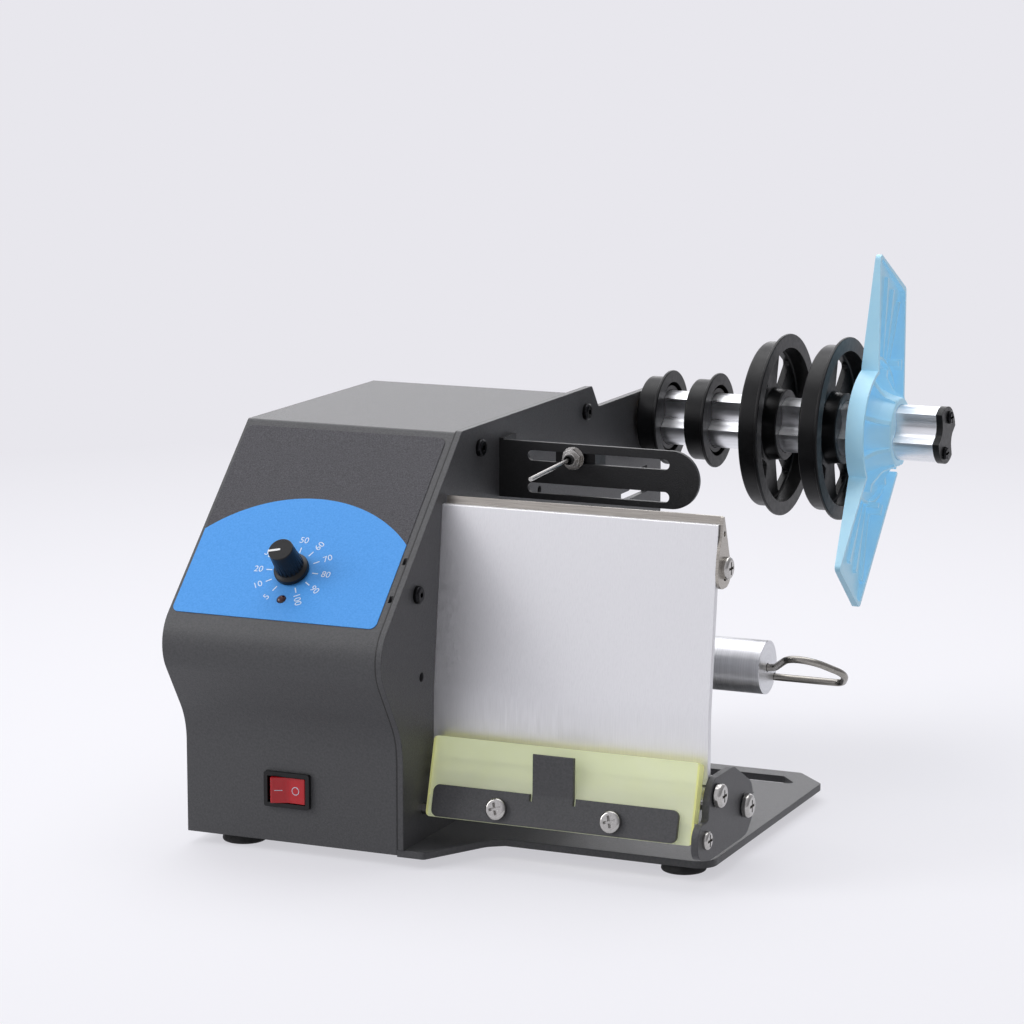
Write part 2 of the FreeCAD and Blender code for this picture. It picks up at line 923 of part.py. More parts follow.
sheet_left = -d("plate_thickness")
through_left = sheet_left - over
arm_back = d("reel_y") + d("arm_behind")
arm_bottom = d("reel_z") - d("arm_under")
arm_top = d("reel_z") + d("arm_over")
frame = new_body("side_frame_plate")
add(frame, "FrameSheet", YZ, sheet_left, ZERO, outline([
    (d("frame_front"), d("frame_bottom")),
    (d("frame_back"), d("frame_bottom")),
    (d("frame_back"), d("frame_knee_z"), d("knee_radius")),
    (arm_back, arm_bottom, d("arm_corner_radius")),
    (arm_back, arm_top, d("arm_corner_radius")),
    (d("arm_neck_y"), arm_top, d("corner_small")),
    (d("frame_top_back"), d("frame_top"), d("corner_small")),
    (d("frame_top_front"), d("frame_top"), d("corner_small")),
    (d("frame_nose_y"), d("frame_nose_z"), d("nose_radius")),
    (d("frame_front"), d("frame_waist_z"), d("waist_radius")),
]))
add(frame, "FootFlange", XY, d("frame_bottom"), d("frame_bottom") + d("plate_thickness"),
    box(-d("foot_flange_width"), d("foot_flange_front"), -1, d("foot_flange_back")))
window_step = d("reel_z") - d("window_under_step")
cut(frame, "ArmWindow", YZ, through_left, over, outline([
    (d("reel_y") - d("window_ahead"), d("reel_z") - d("window_under")),
    (d("reel_y"), d("reel_z") - d("window_under")),
    (d("reel_y"), d("reel_z") - d("window_under_top")),
    (d("reel_y") - d("window_ahead_two"), d("reel_z") - d("window_under_top")),
    (d("reel_y") - d("window_ahead_one"), window_step),
    (d("reel_y") - d("window_ahead"), window_step),
]))
button_places = [(d("button_%s_y" % word), d("button_%s_z" % word)) for word in ("one", "two", "three")]
bracket_places = [(d("bracket_screw_y"), d("bracket_screw_" + word)) for word in ("low", "high")]
cross_bar_place = (d("ear_screw_y"), d("bar_screw_z"))
standoff_places = []
for along in (-1, 1):
    for upward in (-1, 1):
        standoff_places.append((d("spool_y") + d("standoff_offset") * along,
                                d("spool_z") + d("standoff_offset") * upward))
holes = [(y, z, d("screw_four_hole")) for y, z in button_places]
holes = holes + [(y, z, d("screw_three_hole")) for y, z in bracket_places]
holes = holes + [(y, z, d("screw_three_hole")) for y, z in standoff_places]
holes = holes + [
    (d("plain_hole_one_y"), d("plain_hole_one_z"), d("plain_hole_radius")),
    (d("plain_hole_two_y"), d("plain_hole_two_z"), d("plain_hole_radius")),
    (cross_bar_place[0], cross_bar_place[1], d("screw_four_hole")),
    (d("rod_one_y"), d("rod_one_z"), d("screw_four_hole")),
    (d("rod_two_y"), d("rod_two_z"), d("screw_four_hole")),
    (d("pivot_y"), d("pivot_z"), d("screw_four_hole")),
    (d("spool_y"), d("spool_z"), d("bush_radius") + d("pin_fit")),
    (d("reel_y"), d("reel_z"), d("reel_bush_radius") + d("pin_fit")),
]
cut(frame, "FrameHoles", YZ, through_left, over, circles(holes))
flange_screws = [(d("flange_screw_x"), d("flange_screw_" + word)) for word in ("one", "two", "three")]
cut(frame, "FlangeHoles", XY, d("frame_bottom") - over, d("frame_bottom") + d("plate_thickness") + over,
    circles([(x, y, d("screw_four_hole")) for x, y in flange_screws]))
node(frame)

# Base plate with the notched right part and a bent lip on the left

base = new_body("base_plate")
add(base, "BaseSheet", XY, ZERO, d("base_thickness"), outline([
    (d("base_left"), d("base_front_left")),
    (d("base_step_x"), d("base_front_left")),
    (d("base_step_x"), ZERO),
    (d("base_toe_x"), ZERO, d("corner_small")),
    (d("base_bend_x"), d("base_bend_y"), d("arm_corner_radius")),
    (d("base_inner_x"), d("base_front"), d("corner_small")),
    (d("base_right"), d("base_front"), d("arm_corner_radius")),
    (d("base_right"), d("base_chamfer_y"), d("corner_small")),
    (d("base_chamfer_x"), d("base_back"), d("corner_small")),
    (d("base_step_x"), d("base_back")),
    (d("base_step_x"), d("base_back_left")),
    (d("base_left"), d("base_back_left")),
]))
cut(base, "BaseSlot", XY, -over, d("base_thickness") + over, outline([
    (d("slot_left"), d("slot_front"), d("corner_small")),
    (d("slot_right_front"), d("slot_front"), d("corner_small")),
    (d("slot_right_back"), d("slot_back"), d("corner_small")),
    (d("slot_left"), d("slot_back"), d("corner_small")),
]))
add(base, "Lip", YZ, d("base_left"), d("base_left") + d("lip_thickness"),
    box(d("lip_front"), d("base_thickness") - over, d("lip_back"), d("lip_height"), d("corner_small") / 4))
lip_screws = [(d("lip_screw_front"), d("lip_screw_z")), (d("lip_screw_back"), d("lip_screw_z"))]
cut(base, "LipHoles", YZ, d("base_left") - over, d("base_left") + d("lip_thickness") + over,
    circles([(y, z, d("screw_three_hole")) for y, z in lip_screws]))
foot_places = [
    (d("foot_left_x"), d("foot_left_front")),
    (d("foot_left_x"), d("foot_left_back")),
    (d("foot_right_x"), d("foot_right_front")),
    (d("foot_right_x"), d("foot_right_back")),
]
cut(base, "FootHoles", XY, -over, d("base_thickness") - d("foot_hole_skin"),
    circles([(x, y, d("screw_four_hole")) for x, y in foot_places]))
board_places = []
for along in (-1, 1):
    for across in (-1, 1):
        board_places.append((d("board_x") + (d("board_half_x") - d("board_screw_inset")) * along,
                             d("board_y") + (d("board_half_y") - d("board_screw_inset")) * across))
rear_screws = [(d("rear_screw_left"), d("rear_screw_y")), (d("rear_screw_right"), d("rear_screw_y"))]
through = [(x, y, d("screw_four_hole")) for x, y in flange_screws]
through = through + [(x, y, d("screw_three_hole")) for x, y in board_places]
through = through + [(x, y, d("screw_four_hole")) for x, y in rear_screws]
through = through + [(d("pin_hole_x"), d("pin_hole_y"), d("pin_hole_radius"))]
cut(base, "BaseHoles", XY, -over, d("base_thickness") + over, circles(through))
node(base)

# End plate: floats above the base on two rods and carries the flap's right pin

end_left = d("end_left")
end_right = end_left + d("end_thickness")
end_plate = new_body("end_plate")
add(end_plate, "EndSheet", YZ, end_left, end_right, outline([
    (d("end_toe_y"), d("end_toe_low"), d("end_toe_radius")),
    (d("end_sole_front"), d("end_flat_z"), d("end_sole_radius")),
    (d("end_sole_back"), d("end_flat_z"), d("end_sole_radius")),
    (d("end_back_y"), d("end_back_low"), d("end_toe_radius")),
    (d("end_back_y"), d("end_back_high"), d("end_sole_radius")),
    (d("end_crown_back"), d("end_crown_back_z"), d("end_sole_radius")),
    (d("end_crown_front"), d("end_crown_z"), d("end_crown_radius")),
    (d("end_brow_y"), d("end_brow_z"), d("corner_small")),
    (d("end_throat_y"), d("end_toe_high"), d("corner_small")),
    (d("end_toe_y"), d("end_toe_high"), d("end_toe_radius")),
]))
end_screws = [
    (d("rod_one_y"), d("rod_one_z")),
    (d("rod_two_y"), d("rod_two_z")),
    (d("pivot_y"), d("pivot_z")),
]
cut(end_plate, "EndHoles", YZ, end_left - over, end_right + over,
    circles([(y, z, d("screw_four_hole")) for y, z in end_screws]))
node(end_plate)

# Housing cover: one bent shell with a wavy front, open at the seam, underneath and behind

skin = d("cover_skin")
run = sin(d("slope_angle")) / cos(d("slope_angle"))
cover = new_body("housing_cover")


def cover_profile(inset, radius_change, low, back):
    slope_drop = inset / cos(d("slope_angle"))
    lean = d("nose_y") / (d("nose_z") - d("waist_z"))
    lean_square = lean * lean + Size(1, "1")
    lean_shift = inset * Size(math.sqrt(lean_square.value), "sqrt(%s)" % lean_square.text)
    top = d("cover_top") - inset
    top_y = d("slope_top_y") + (slope_drop - inset) / run
    # The inner nose lies where the inner slope line meets the inner leaning line.
    a = run
    b = d("cover_top") - slope_drop - d("slope_top_y") * run
    inner_nose_y = (lean * (b - d("waist_z")) + lean_shift) / (1 - lean * a)
    inner_nose_z = b + inner_nose_y * a
    inner_waist_z = d("waist_z") + (inset - lean_shift) / lean
    return [
        (inset, low),
        (inset, inner_waist_z, d("cover_waist_radius") + radius_change),
        (inner_nose_y, inner_nose_z, d("cover_nose_radius") - radius_change),
        (top_y, top, d("corner_small")),
        (back, top),
        (back, low),
    ]


add(cover, "CoverBlock", YZ, d("cover_left"), d("cover_right"), outline(
    cover_profile(ZERO, ZERO, d("cover_bottom"), d("cover_back"))))
cut(cover, "CoverHollow", YZ, d("cover_left") + skin, d("cover_right") + over, outline(
    cover_profile(skin, skin, d("cover_bottom") - over, d("cover_back") + over)))
add(cover, "TopLug", YZ, d("cover_right") - d("lug_reach"), d("cover_right"),
    box(d("lug_top_front"), d("lug_top_bottom"), d("lug_top_back"), d("cover_top") - skin / 4))
add(cover, "SlopeLug", YZ, d("cover_right") - d("lug_reach"), d("cover_right"), outline([
    (d("lug_slope_front"), d("lug_slope_bottom")),
    (d("lug_slope_back"), d("lug_slope_bottom")),
    (d("lug_slope_back"), d("lug_slope_top_back")),
    (d("lug_slope_front"), d("lug_slope_top_front")),
]))
cut(cover, "LugHoles", YZ, d("cover_right") - d("lug_reach") - over, d("cover_right") + over,
    circles([(button_places[0][0], button_places[0][1], d("screw_four_hole")),
             (button_places[2][0], button_places[2][1], d("screw_four_hole"))]))
opening_half_width = d("bezel_body_half_width") + d("bezel_gap")
opening_half_height = d("bezel_body_half_height") + d("bezel_gap")
cut(cover, "RockerOpening", XZ, -over, skin + over,
    box(d("rocker_x") - opening_half_width, d("rocker_z") - opening_half_height,
        d("rocker_x") + opening_half_width, d("rocker_z") + opening_half_height))
for name, y, z in (("LowNotch", d("notch_low_y"), d("notch_low_z")),
                   ("HighNotch", d("notch_high_y"), d("notch_high_z"))):
    cut(cover, name, XZ, y - d("notch_reach"), y + d("notch_reach"),
        box(d("cover_right") - d("notch_depth"), z - d("notch_height") / 2, d("cover_right") + over,
            z + d("notch_height") / 2))
for name, y in (("SeamMarkOne", d("seam_mark_one")), ("SeamMarkTwo", d("seam_mark_two"))):
    cut(cover, name, XY, d("cover_top") - skin / 2, d("cover_top") + over,
        box(d("cover_right") - d("notch_depth") / 2, y - d("seam_mark_width") / 2, d("cover_right") + over,
            y + d("seam_mark_width") / 2))
cut(cover, "SideHoles", YZ, d("cover_left") - over, d("cover_left") + skin + over,
    circles([(y, z, d("screw_three_hole")) for y, z in lip_screws]))
slope_turn = d("slope_angle")
slope_cos = cos(slope_turn)
slope_sin = sin(slope_turn)


def slope_place(s, depth):
    """Y and Z of a point on the slope, s along it from the top edge and depth out of it."""
    return (d("slope_top_y") + s * slope_cos - depth * slope_sin,
            d("cover_top") + s * slope_sin + depth * slope_cos)


slope_tool = new_body("SlopeHoles")
add(slope_tool, "SlopeDrill", XY, -skin * 3, skin, circles([
    (d("dial_x"), d("dial_s"), d("bushing_hole")),
    (d("dial_x"), d("led_s"), d("led_radius") + d("pin_fit")),
]))
slope_tool.Placement = FreeCAD.Placement(
    FreeCAD.Vector(0, d("slope_top_y").value, d("cover_top").value),
    FreeCAD.Rotation(FreeCAD.Vector(1, 0, 0), slope_turn.value))
slope_tool.setExpression("Placement.Base.y", d("slope_top_y").text)
slope_tool.setExpression("Placement.Base.z", d("cover_top").text)
cover.Label = "CoverShell"
drilled = doc.addObject("Part::Cut", "housing_cover_drilled")
drilled.Label = "housing_cover"
drilled.Base = cover
drilled.Tool = slope_tool
node(drilled)

# Rear cover with louvre slots, its flanges and the power inlet

rear = new_body("rear_cover")
rear_left = d("cover_left") + skin + d("rear_inset")
rear_right = d("cover_right") - d("rear_inset")
rear_top = d("cover_top") - skin - d("rear_inset")
rear_back = d("cover_back") - d("rear_inset")
add(rear, "RearSheet", XZ, rear_back - skin, rear_back,
    box(rear_left, d("rear_bottom"), rear_right, rear_top))
add(rear, "RearFoot", XY, d("rear_bottom"), d("rear_bottom") + skin,
    box(rear_left + d("rear_foot_inset"), rear_back - d("rear_flange"),
        rear_right - d("rear_foot_short"), rear_back - skin / 2))
cut(rear, "RearFootHoles", XY, d("rear_bottom") - over, d("rear_bottom") + skin + over,
    circles([(x, y, d("screw_four_hole")) for x, y in rear_screws]))
for index in range(int(SIZES["vent_count"])):
    low = d("vent_z") + d("vent_pitch") * index
    cut(rear, "Vent%d" % (index + 1), XZ, rear_back - skin - over, rear_back + over,
        box(d("vent_x") - d("vent_width") / 2, low, d("vent_x") + d("vent_width") / 2,
            low + d("vent_height"), d("vent_height") / 2.05))
cut(rear, "InletHole", XZ, rear_back - skin - over, rear_back + over,
    circles([(d("inlet_x"), d("inlet_z"), d("inlet_radius") + d("pin_fit"))]))
node(rear)

inlet = new_body("power_inlet")
add(inlet, "InletFlange", XZ, rear_back, rear_back + d("inlet_lip"),
    circles([(d("inlet_x"), d("inlet_z"), d("inlet_flange"))]))
add(inlet, "InletBarrel", XZ, rear_back - d("inlet_length"), rear_back + d("inlet_lip") / 2,
    circles([(d("inlet_x"), d("inlet_z"), d("inlet_radius"))]))
cut(inlet, "InletBore", XZ, rear_back - d("inlet_length") + d("inlet_floor"),
    rear_back + d("inlet_lip") + over,
    circles([(d("inlet_x"), d("inlet_z"), d("inlet_bore"))]))
add(inlet, "InletPin", XZ, rear_back - d("inlet_length") + d("inlet_floor") / 2, rear_back - d("inlet_lip"),
    circles([(d("inlet_x"), d("inlet_z"), d("inlet_pin"))]))
node(inlet)

# Controls: everything on the slope is drawn flat and then tilted with it

slope_base = (ZERO, d("slope_top_y"), d("cover_top"))
dial = (d("dial_x"), d("dial_s"))

overlay = new_body("control_overlay")
add(overlay, "OverlayFilm", XY, ZERO, d("overlay_thickness"),
    box(d("overlay_left"), d("overlay_bottom"), d("overlay_right"), d("overlay_top"), d("overlay_radius")))
cut(overlay, "OverlayHoles", XY, -over, d("overlay_thickness") + over, circles([
    (dial[0], dial[1], d("bushing_hole")),
    (d("dial_x"), d("led_s"), d("led_radius") + d("pin_fit")),
]))
node(overlay, slope_base, tilt=slope_turn)

pot_top = -skin - d("hair_gap")
pot = new_body("potentiometer")
add(pot, "PotCase", XY, pot_top - d("pot_depth"), pot_top,
    box(dial[0] - d("pot_half"), dial[1] - d("pot_half"), dial[0] + d("pot_half"), dial[1] + d("pot_half"),
        d("corner_small")))
add(pot, "PotBushing", XY, pot_top - over, d("bushing_top"),
    circles([(dial[0], dial[1], d("bushing_radius"))]))
cut(pot, "PotBore", XY, d("pot_shaft_bottom") - d("pot_end_gap"), d("bushing_top") + over,
    circles([(dial[0], dial[1], d("pot_bore"))]))
node(pot, slope_base, tilt=slope_turn)

pot_nut = new_body("potentiometer_nut")
nut_corners = []
for index in range(6):
    turn = 60.0 * index
    nut_corners.append((dial[0] + d("pot_nut_radius") * cos(turn),
                        dial[1] + d("pot_nut_radius") * sin(turn)))
add(pot_nut, "NutBlock", XY, d("overlay_thickness"), d("overlay_thickness") + d("pot_nut_height"),
    outline(nut_corners))
cut(pot_nut, "NutBore", XY, -over, d("bushing_top") + over,
    circles([(dial[0], dial[1], d("bushing_radius") + d("pin_fit"))]))
node(pot_nut, slope_base, tilt=slope_turn)

pot_shaft = new_body("potentiometer_shaft")
add(pot_shaft, "PotShaft", XY, d("pot_shaft_bottom"), d("pot_shaft_top"),
    circles([(dial[0], dial[1], d("pot_shaft_radius"))]))
node(pot_shaft, slope_base, tilt=slope_turn)

# The knob is drawn about its own axis, so its flutes and pointer can be arranged round it
knob_base = (d("dial_x"), slope_place(d("dial_s"), ZERO)[0], slope_place(d("dial_s"), ZERO)[1])
knob = new_body("KnobShape")
turned(knob, "KnobTurned", [
    (d("pot_shaft_radius") + d("pin_fit"), d("knob_recess_top")),
    (d("knob_recess_radius"), d("knob_recess_top")),
    (d("knob_recess_radius"), d("knob_bottom")),
    (d("knob_skirt_radius"), d("knob_bottom")),
    (d("knob_skirt_radius"), d("knob_skirt_top") - d("knob_skirt_chamfer"), d("knob_edge_round")),
    (d("knob_body_radius"), d("knob_skirt_top")),
    (d("knob_top_radius"), d("knob_top"), d("knob_top_round")),
    (ZERO, d("knob_top")),
    (ZERO, d("knob_bore_top")),
    (d("pot_shaft_radius") + d("pin_fit"), d("knob_bore_top")),
], upright=True)
flute = cut(knob, "KnobFlute", XY, d("knob_skirt_top") + d("knob_flute_rise"), d("knob_top") + over,
            circles([(d("knob_body_radius") + d("knob_flute_out"), ZERO, d("flute_radius"))]))
flutes = knob.newObject("PartDesign::PolarPattern", "KnobFlutes")
flutes.Originals = [flute]
flutes.Axis = (flute.Profile[0], ["N_Axis"])
flutes.Angle = 360
flutes.Occurrences = int(SIZES["flute_count"])
flutes.setExpression("Occurrences", "Dims.flute_count")
knob.Tip = flutes
turn_back = d("pointer_angle") - 180
half_pointer = d("pointer_width") / 2
pointer_groove = [
    (-d("knob_skirt_radius"), -half_pointer),
    (ZERO, -half_pointer),
    (ZERO, half_pointer),
    (-d("knob_skirt_radius"), half_pointer),
]
cut(knob, "PointerGrooveTop", XY, d("knob_top") - d("pointer_depth"), d("knob_top") + over,
    outline(pointer_groove))
pointer_side_inner = d("knob_top_radius") - d("pointer_depth") + d("pointer_root")
cut(knob, "PointerGrooveSide", XY, d("knob_skirt_top"), d("knob_top") + over, outline([
    (-d("knob_skirt_radius"), -half_pointer),
    (-pointer_side_inner, -half_pointer),
    (-pointer_side_inner, half_pointer),
    (-d("knob_skirt_radius"), half_pointer),
]))
knob.Label = "KnobPlain"
pointer = new_body("knob_pointer")
pointer_profile = outline([
    (-d("pointer_root"), d("knob_top") - d("pointer_depth")),
    (-d("pointer_root"), d("knob_top") + d("pointer_proud")),
    (-d("knob_top_radius") - d("pointer_proud"), d("knob_top") + d("pointer_proud")),
    (-d("knob_body_radius") + d("pointer_root") - d("pointer_proud"), d("knob_skirt_top")),
    (-pointer_side_inner, d("knob_skirt_top")),
    (-pointer_side_inner, d("knob_top") - d("pointer_depth")),
])
add(pointer, "PointerStrip", XZ, -half_pointer + d("running_hair"), half_pointer - d("running_hair"),
    pointer_profile)
spin_and_tilt = FreeCAD.Rotation(FreeCAD.Vector(1, 0, 0), slope_turn.value).multiply(
    FreeCAD.Rotation(FreeCAD.Vector(0, 0, 1), turn_back.value))
for piece, label in ((knob, "speed_knob"), (pointer, "knob_pointer")):
    piece.Label = label
    node(piece, knob_base)
    piece.Placement = FreeCAD.Placement(FreeCAD.Vector(0, 0, 0), spin_and_tilt)

led = new_body("indicator_led")
led_centre = (d("dial_x"), d("led_s"))
turned(led, "LedTurned", [
    (ZERO, -skin - d("led_length")),
    (d("led_flange"), -skin - d("led_length")),
    (d("led_flange"), -skin - d("hair_gap")),
    (d("led_radius"), -skin - d("hair_gap")),
    (d("led_radius"), d("led_top"), d("led_dome_round")),
    (ZERO, d("led_top")),
], centre=led_centre, upright=True)
node(led, slope_base, tilt=slope_turn)

# Rocker switch on the front face

bezel = new_body("rocker_bezel")
rocker_x = d("rocker_x")
rocker_z = d("rocker_z")


def rocker_box(half_width, half_height, radius=None):
    return box(rocker_x - half_width, rocker_z - half_height, rocker_x + half_width, rocker_z + half_height,
               radius)


add(bezel, "BezelBody", XZ, -d("bezel_proud") / 2, d("bezel_depth"),
    rocker_box(d("bezel_body_half_width"), d("bezel_body_half_height")))
add(bezel, "BezelFlange", XZ, -d("bezel_proud"), ZERO,
    rocker_box(d("bezel_half_width"), d("bezel_half_height"), d("corner_small") / 2))
cut(bezel, "BezelOpening", XZ, -d("bezel_proud") - over, d("bezel_open_depth"),
    rocker_box(d("bezel_open_half_width"), d("bezel_open_half_height")))
node(bezel)

rocker = new_body("rocker")
add(rocker, "RockerBlock", XY, -d("rocker_half_height"), d("rocker_half_height"), outline([
    (-d("rocker_waist"), ZERO),
    (-d("rocker_back_half"), d("rocker_back")),
    (d("rocker_back_half"), d("rocker_back")),
    (d("rocker_waist"), ZERO),
    (d("rocker_half_width"), -d("rocker_tip"), d("rocker_tip_round")),
    (ZERO, -d("rocker_valley"), d("rocker_valley_round")),
    (-d("rocker_half_width"), -d("rocker_tip"), d("rocker_tip_round")),
]))
boss_half = d("bezel_open_half_height") - d("rocker_side_gap")
add(rocker, "RockerPivot", XY, -boss_half, boss_half, circles([(ZERO, ZERO, d("rocker_boss"))]))
node(rocker, (rocker_x, d("rocker_pivot_y"), rocker_z), axis=(0, 0, 1), tilt=d("rocker_tilt"))

# Front panel, cross bar behind its top and the peel blade with its ear

panel_rise = (d("panel_top_y") - d("panel_bend_y")) / (d("panel_top_z") - d("panel_bend_z"))


def panel_back_y(z):
    return d("panel_bend_y") + d("panel_sheet") + (as_size(z) - d("panel_bend_z")) * panel_rise


panel_screws = [(d("panel_screw_one"), d("panel_screw_z")), (d("panel_screw_two"), d("panel_screw_z"))]
panel = new_body("front_panel")
add(panel, "PanelSheet", YZ, ZERO, d("panel_right"), outline([
    (d("panel_foot_y"), d("panel_foot_z")),
    (d("panel_foot_y") + d("panel_sheet"), d("panel_foot_z")),
    (d("panel_bend_y") + d("panel_sheet"), d("panel_bend_z"), d("panel_bend_radius")),
    (panel_back_y(d("panel_top_z")), d("panel_top_z")),
    (d("panel_top_y"), d("panel_top_z"), d("panel_edge_round")),
    (d("panel_bend_y"), d("panel_bend_z"), d("panel_bend_radius")),
]))
panel_screw_tip = panel_back_y(d("panel_screw_z")) - d("panel_screw_bite")
cut(panel, "PanelHoles", XZ, panel_screw_tip, panel_back_y(d("panel_top_z")) + over,
    circles([(x, z, d("screw_three_hole")) for x, z in panel_screws]))
node(panel)

fit = d("pin_fit")
cross_bar = new_body("top_cross_bar")
add(cross_bar, "BarBlock", YZ, ZERO, end_left, outline([
    (panel_back_y(d("bar_bottom_z")) + fit, d("bar_bottom_z")),
    (d("bar_back_y"), d("bar_bottom_z")),
    (d("bar_back_y"), d("bar_top_z")),
    (panel_back_y(d("bar_top_z")) + fit, d("bar_top_z")),
]))
cut(cross_bar, "BarEarHole", YZ, end_left - d("rod_thread_depth"), end_left + over,
    circles([(d("ear_screw_y"), d("ear_screw_z"), d("screw_four_hole"))]))
cut(cross_bar, "BarFrameHole", YZ, -over, d("rod_thread_depth"),
    circles([(cross_bar_place[0], cross_bar_place[1], d("screw_four_hole"))]))
cut(cross_bar, "BarPanelHoles", XZ, d("panel_foot_y"), d("bar_back_y") + over,
    circles([(x, z, d("screw_three_hole")) for x, z in panel_screws]))
node(cross_bar)

ear_left = end_left + fit
ear_right = ear_left + d("blade_thickness")
blade_top = d("panel_top_z") + d("blade_proud")
blade_back = d("blade_thickness")
peel = new_body("peel_blade")
add(peel, "BladeStrip", YZ, d("blade_left"), ear_left + d("blade_lap"), outline([
    (panel_back_y(d("bar_top_z")) + fit, d("bar_top_z") + fit),
    (panel_back_y(d("bar_top_z")) + d("blade_flange_reach"), d("bar_top_z") + fit),
    (panel_back_y(d("bar_top_z")) + d("blade_flange_reach"), d("bar_top_z") + fit + blade_back),
    (panel_back_y(d("bar_top_z")) + fit + blade_back * 1.15, d("bar_top_z") + fit + blade_back,
     d("blade_edge_round")),
    (panel_back_y(blade_top) + fit + blade_back, blade_top),
    (panel_back_y(blade_top) + fit, blade_top),
]))
add(peel, "BladeEar", YZ, ear_left, ear_right, outline([
    (d("ear_toe_y"), d("ear_foot_z"), d("ear_round")),
    (d("ear_heel_y"), d("ear_foot_z"), d("ear_round")),
    (d("ear_tip_y") + d("ear_tip_back"), d("ear_tip_z") - d("ear_tip_drop"), d("blade_edge_round")),
    (d("ear_tip_y") - d("ear_tip_front"), d("ear_tip_z") - d("ear_tip_drop"), d("blade_edge_round")),
    (d("ear_neck_y"), d("ear_neck_z"), d("ear_neck_round")),
    (d("ear_shoulder_y"), d("ear_shoulder_z"), d("ear_shoulder_round")),
    (d("ear_front_y"), d("ear_front_z"), d("ear_shoulder_round")),
]))
slot_low = d("ear_screw_z") - d("ear_slot_travel")
cut(peel, "EarSlot", YZ, ear_left - over, ear_right + over,
    box(d("ear_screw_y") - d("ear_slot_half"), slot_low - d("ear_slot_half"),
        d("ear_screw_y") + d("ear_slot_half"), d("ear_screw_z") + d("ear_slot_half"),
        d("ear_slot_half") - d("running_hair") * 2))
cut(peel, "EarRelief", YZ, ear_left - over, ear_right + over,
    circles([(panel_back_y(d("ear_hole_z")) + d("ear_hole_back"), d("ear_hole_z"), d("ear_hole_radius"))]))
node(peel)

# Guide rods, flap and its clamp

rods = new_body("RodPattern")
add(rods, "Rod", YZ, ZERO, end_left, circles([(ZERO, ZERO, d("rod_radius"))]))
cut(rods, "RodThreadRight", YZ, end_left - d("rod_thread_depth"), end_left + over,
    circles([(ZERO, ZERO, d("screw_four_hole"))]))
cut(rods, "RodThreadLeft", YZ, -over, d("rod_thread_depth"),
    circles([(ZERO, ZERO, d("screw_four_hole"))]))

pins = new_body("PinPattern")
turned(pins, "PinTurned", [
    (ZERO, ZERO),
    (d("pin_reach"), ZERO),
    (d("pin_reach"), d("pin_spigot")),
    (d("pin_shoulder"), d("pin_spigot")),
    (d("pin_shoulder"), d("pin_radius")),
    (ZERO, d("pin_radius")),
])
cut(pins, "PinThread", YZ, -over, d("pin_thread_depth"), circles([(ZERO, ZERO, d("screw_three_hole"))]))

flap_base = (ZERO, d("flap_foot_y"), d("flap_foot_z"))
flap_tilt = -d("flap_lean")
pivot_dy = d("pivot_y") - d("flap_foot_y")
pivot_dz = d("pivot_z") - d("flap_foot_z")
lean_cos = cos(d("flap_lean"))
lean_sin = sin(d("flap_lean"))
pivot_across = pivot_dy * lean_cos - pivot_dz * lean_sin
pivot_along = pivot_dy * lean_sin + pivot_dz * lean_cos
hinge_left = d("hinge_bar_left")
hinge_right = end_left - hinge_left
hinge_front = d("flap_sheet") - d("hinge_bar_sheet")
flap = new_body("pressure_flap")
add(flap, "FlapSheet", XZ, ZERO, d("flap_sheet"),
    box(d("flap_left"), ZERO, d("flap_right"), d("flap_length"), d("corner_small")))
cut(flap, "FlapGroove", YZ, d("flap_left") - over, d("flap_right") + over,
    box(hinge_front - fit, -over, d("flap_sheet") + over, d("hinge_bar_high") + fit))
for name, start, end in (("FlapPocketLeft", d("flap_left") - over, hinge_left),
                         ("FlapPocketRight", hinge_right, d("flap_right") + over)):
    cut(flap, name, YZ, start, end, circles([(pivot_across, pivot_along, d("pin_radius") + fit * 3)]))
clamp_screws = [(d("clamp_screw_one"), d("clamp_screw_s")), (d("clamp_screw_two"), d("clamp_screw_s"))]
cut(flap, "FlapHoles", XZ, -over, d("flap_sheet") + over,
    circles([(x, s, d("screw_four_hole")) for x, s in clamp_screws]))
node(flap, flap_base, tilt=flap_tilt)

hinge_bar = new_body("flap_hinge_bar")
add(hinge_bar, "HingeBlock", XZ, hinge_front, d("flap_sheet"),
    box(hinge_left, ZERO, hinge_right, d("hinge_bar_high")))
for name, start, end in (("HingeBoreLeft", hinge_left - over, hinge_left + d("hinge_bore_depth")),
                         ("HingeBoreRight", hinge_right - d("hinge_bore_depth"), hinge_right + over)):
    cut(hinge_bar, name, YZ, start, end, circles([(pivot_across, pivot_along, d("pin_spigot") + fit)]))
cut(hinge_bar, "HingeScrewHoles", XZ, -over, d("flap_sheet") + over,
    circles([(x, s, d("screw_four_hole")) for x, s in clamp_screws]))
node(hinge_bar, flap_base, tilt=flap_tilt)

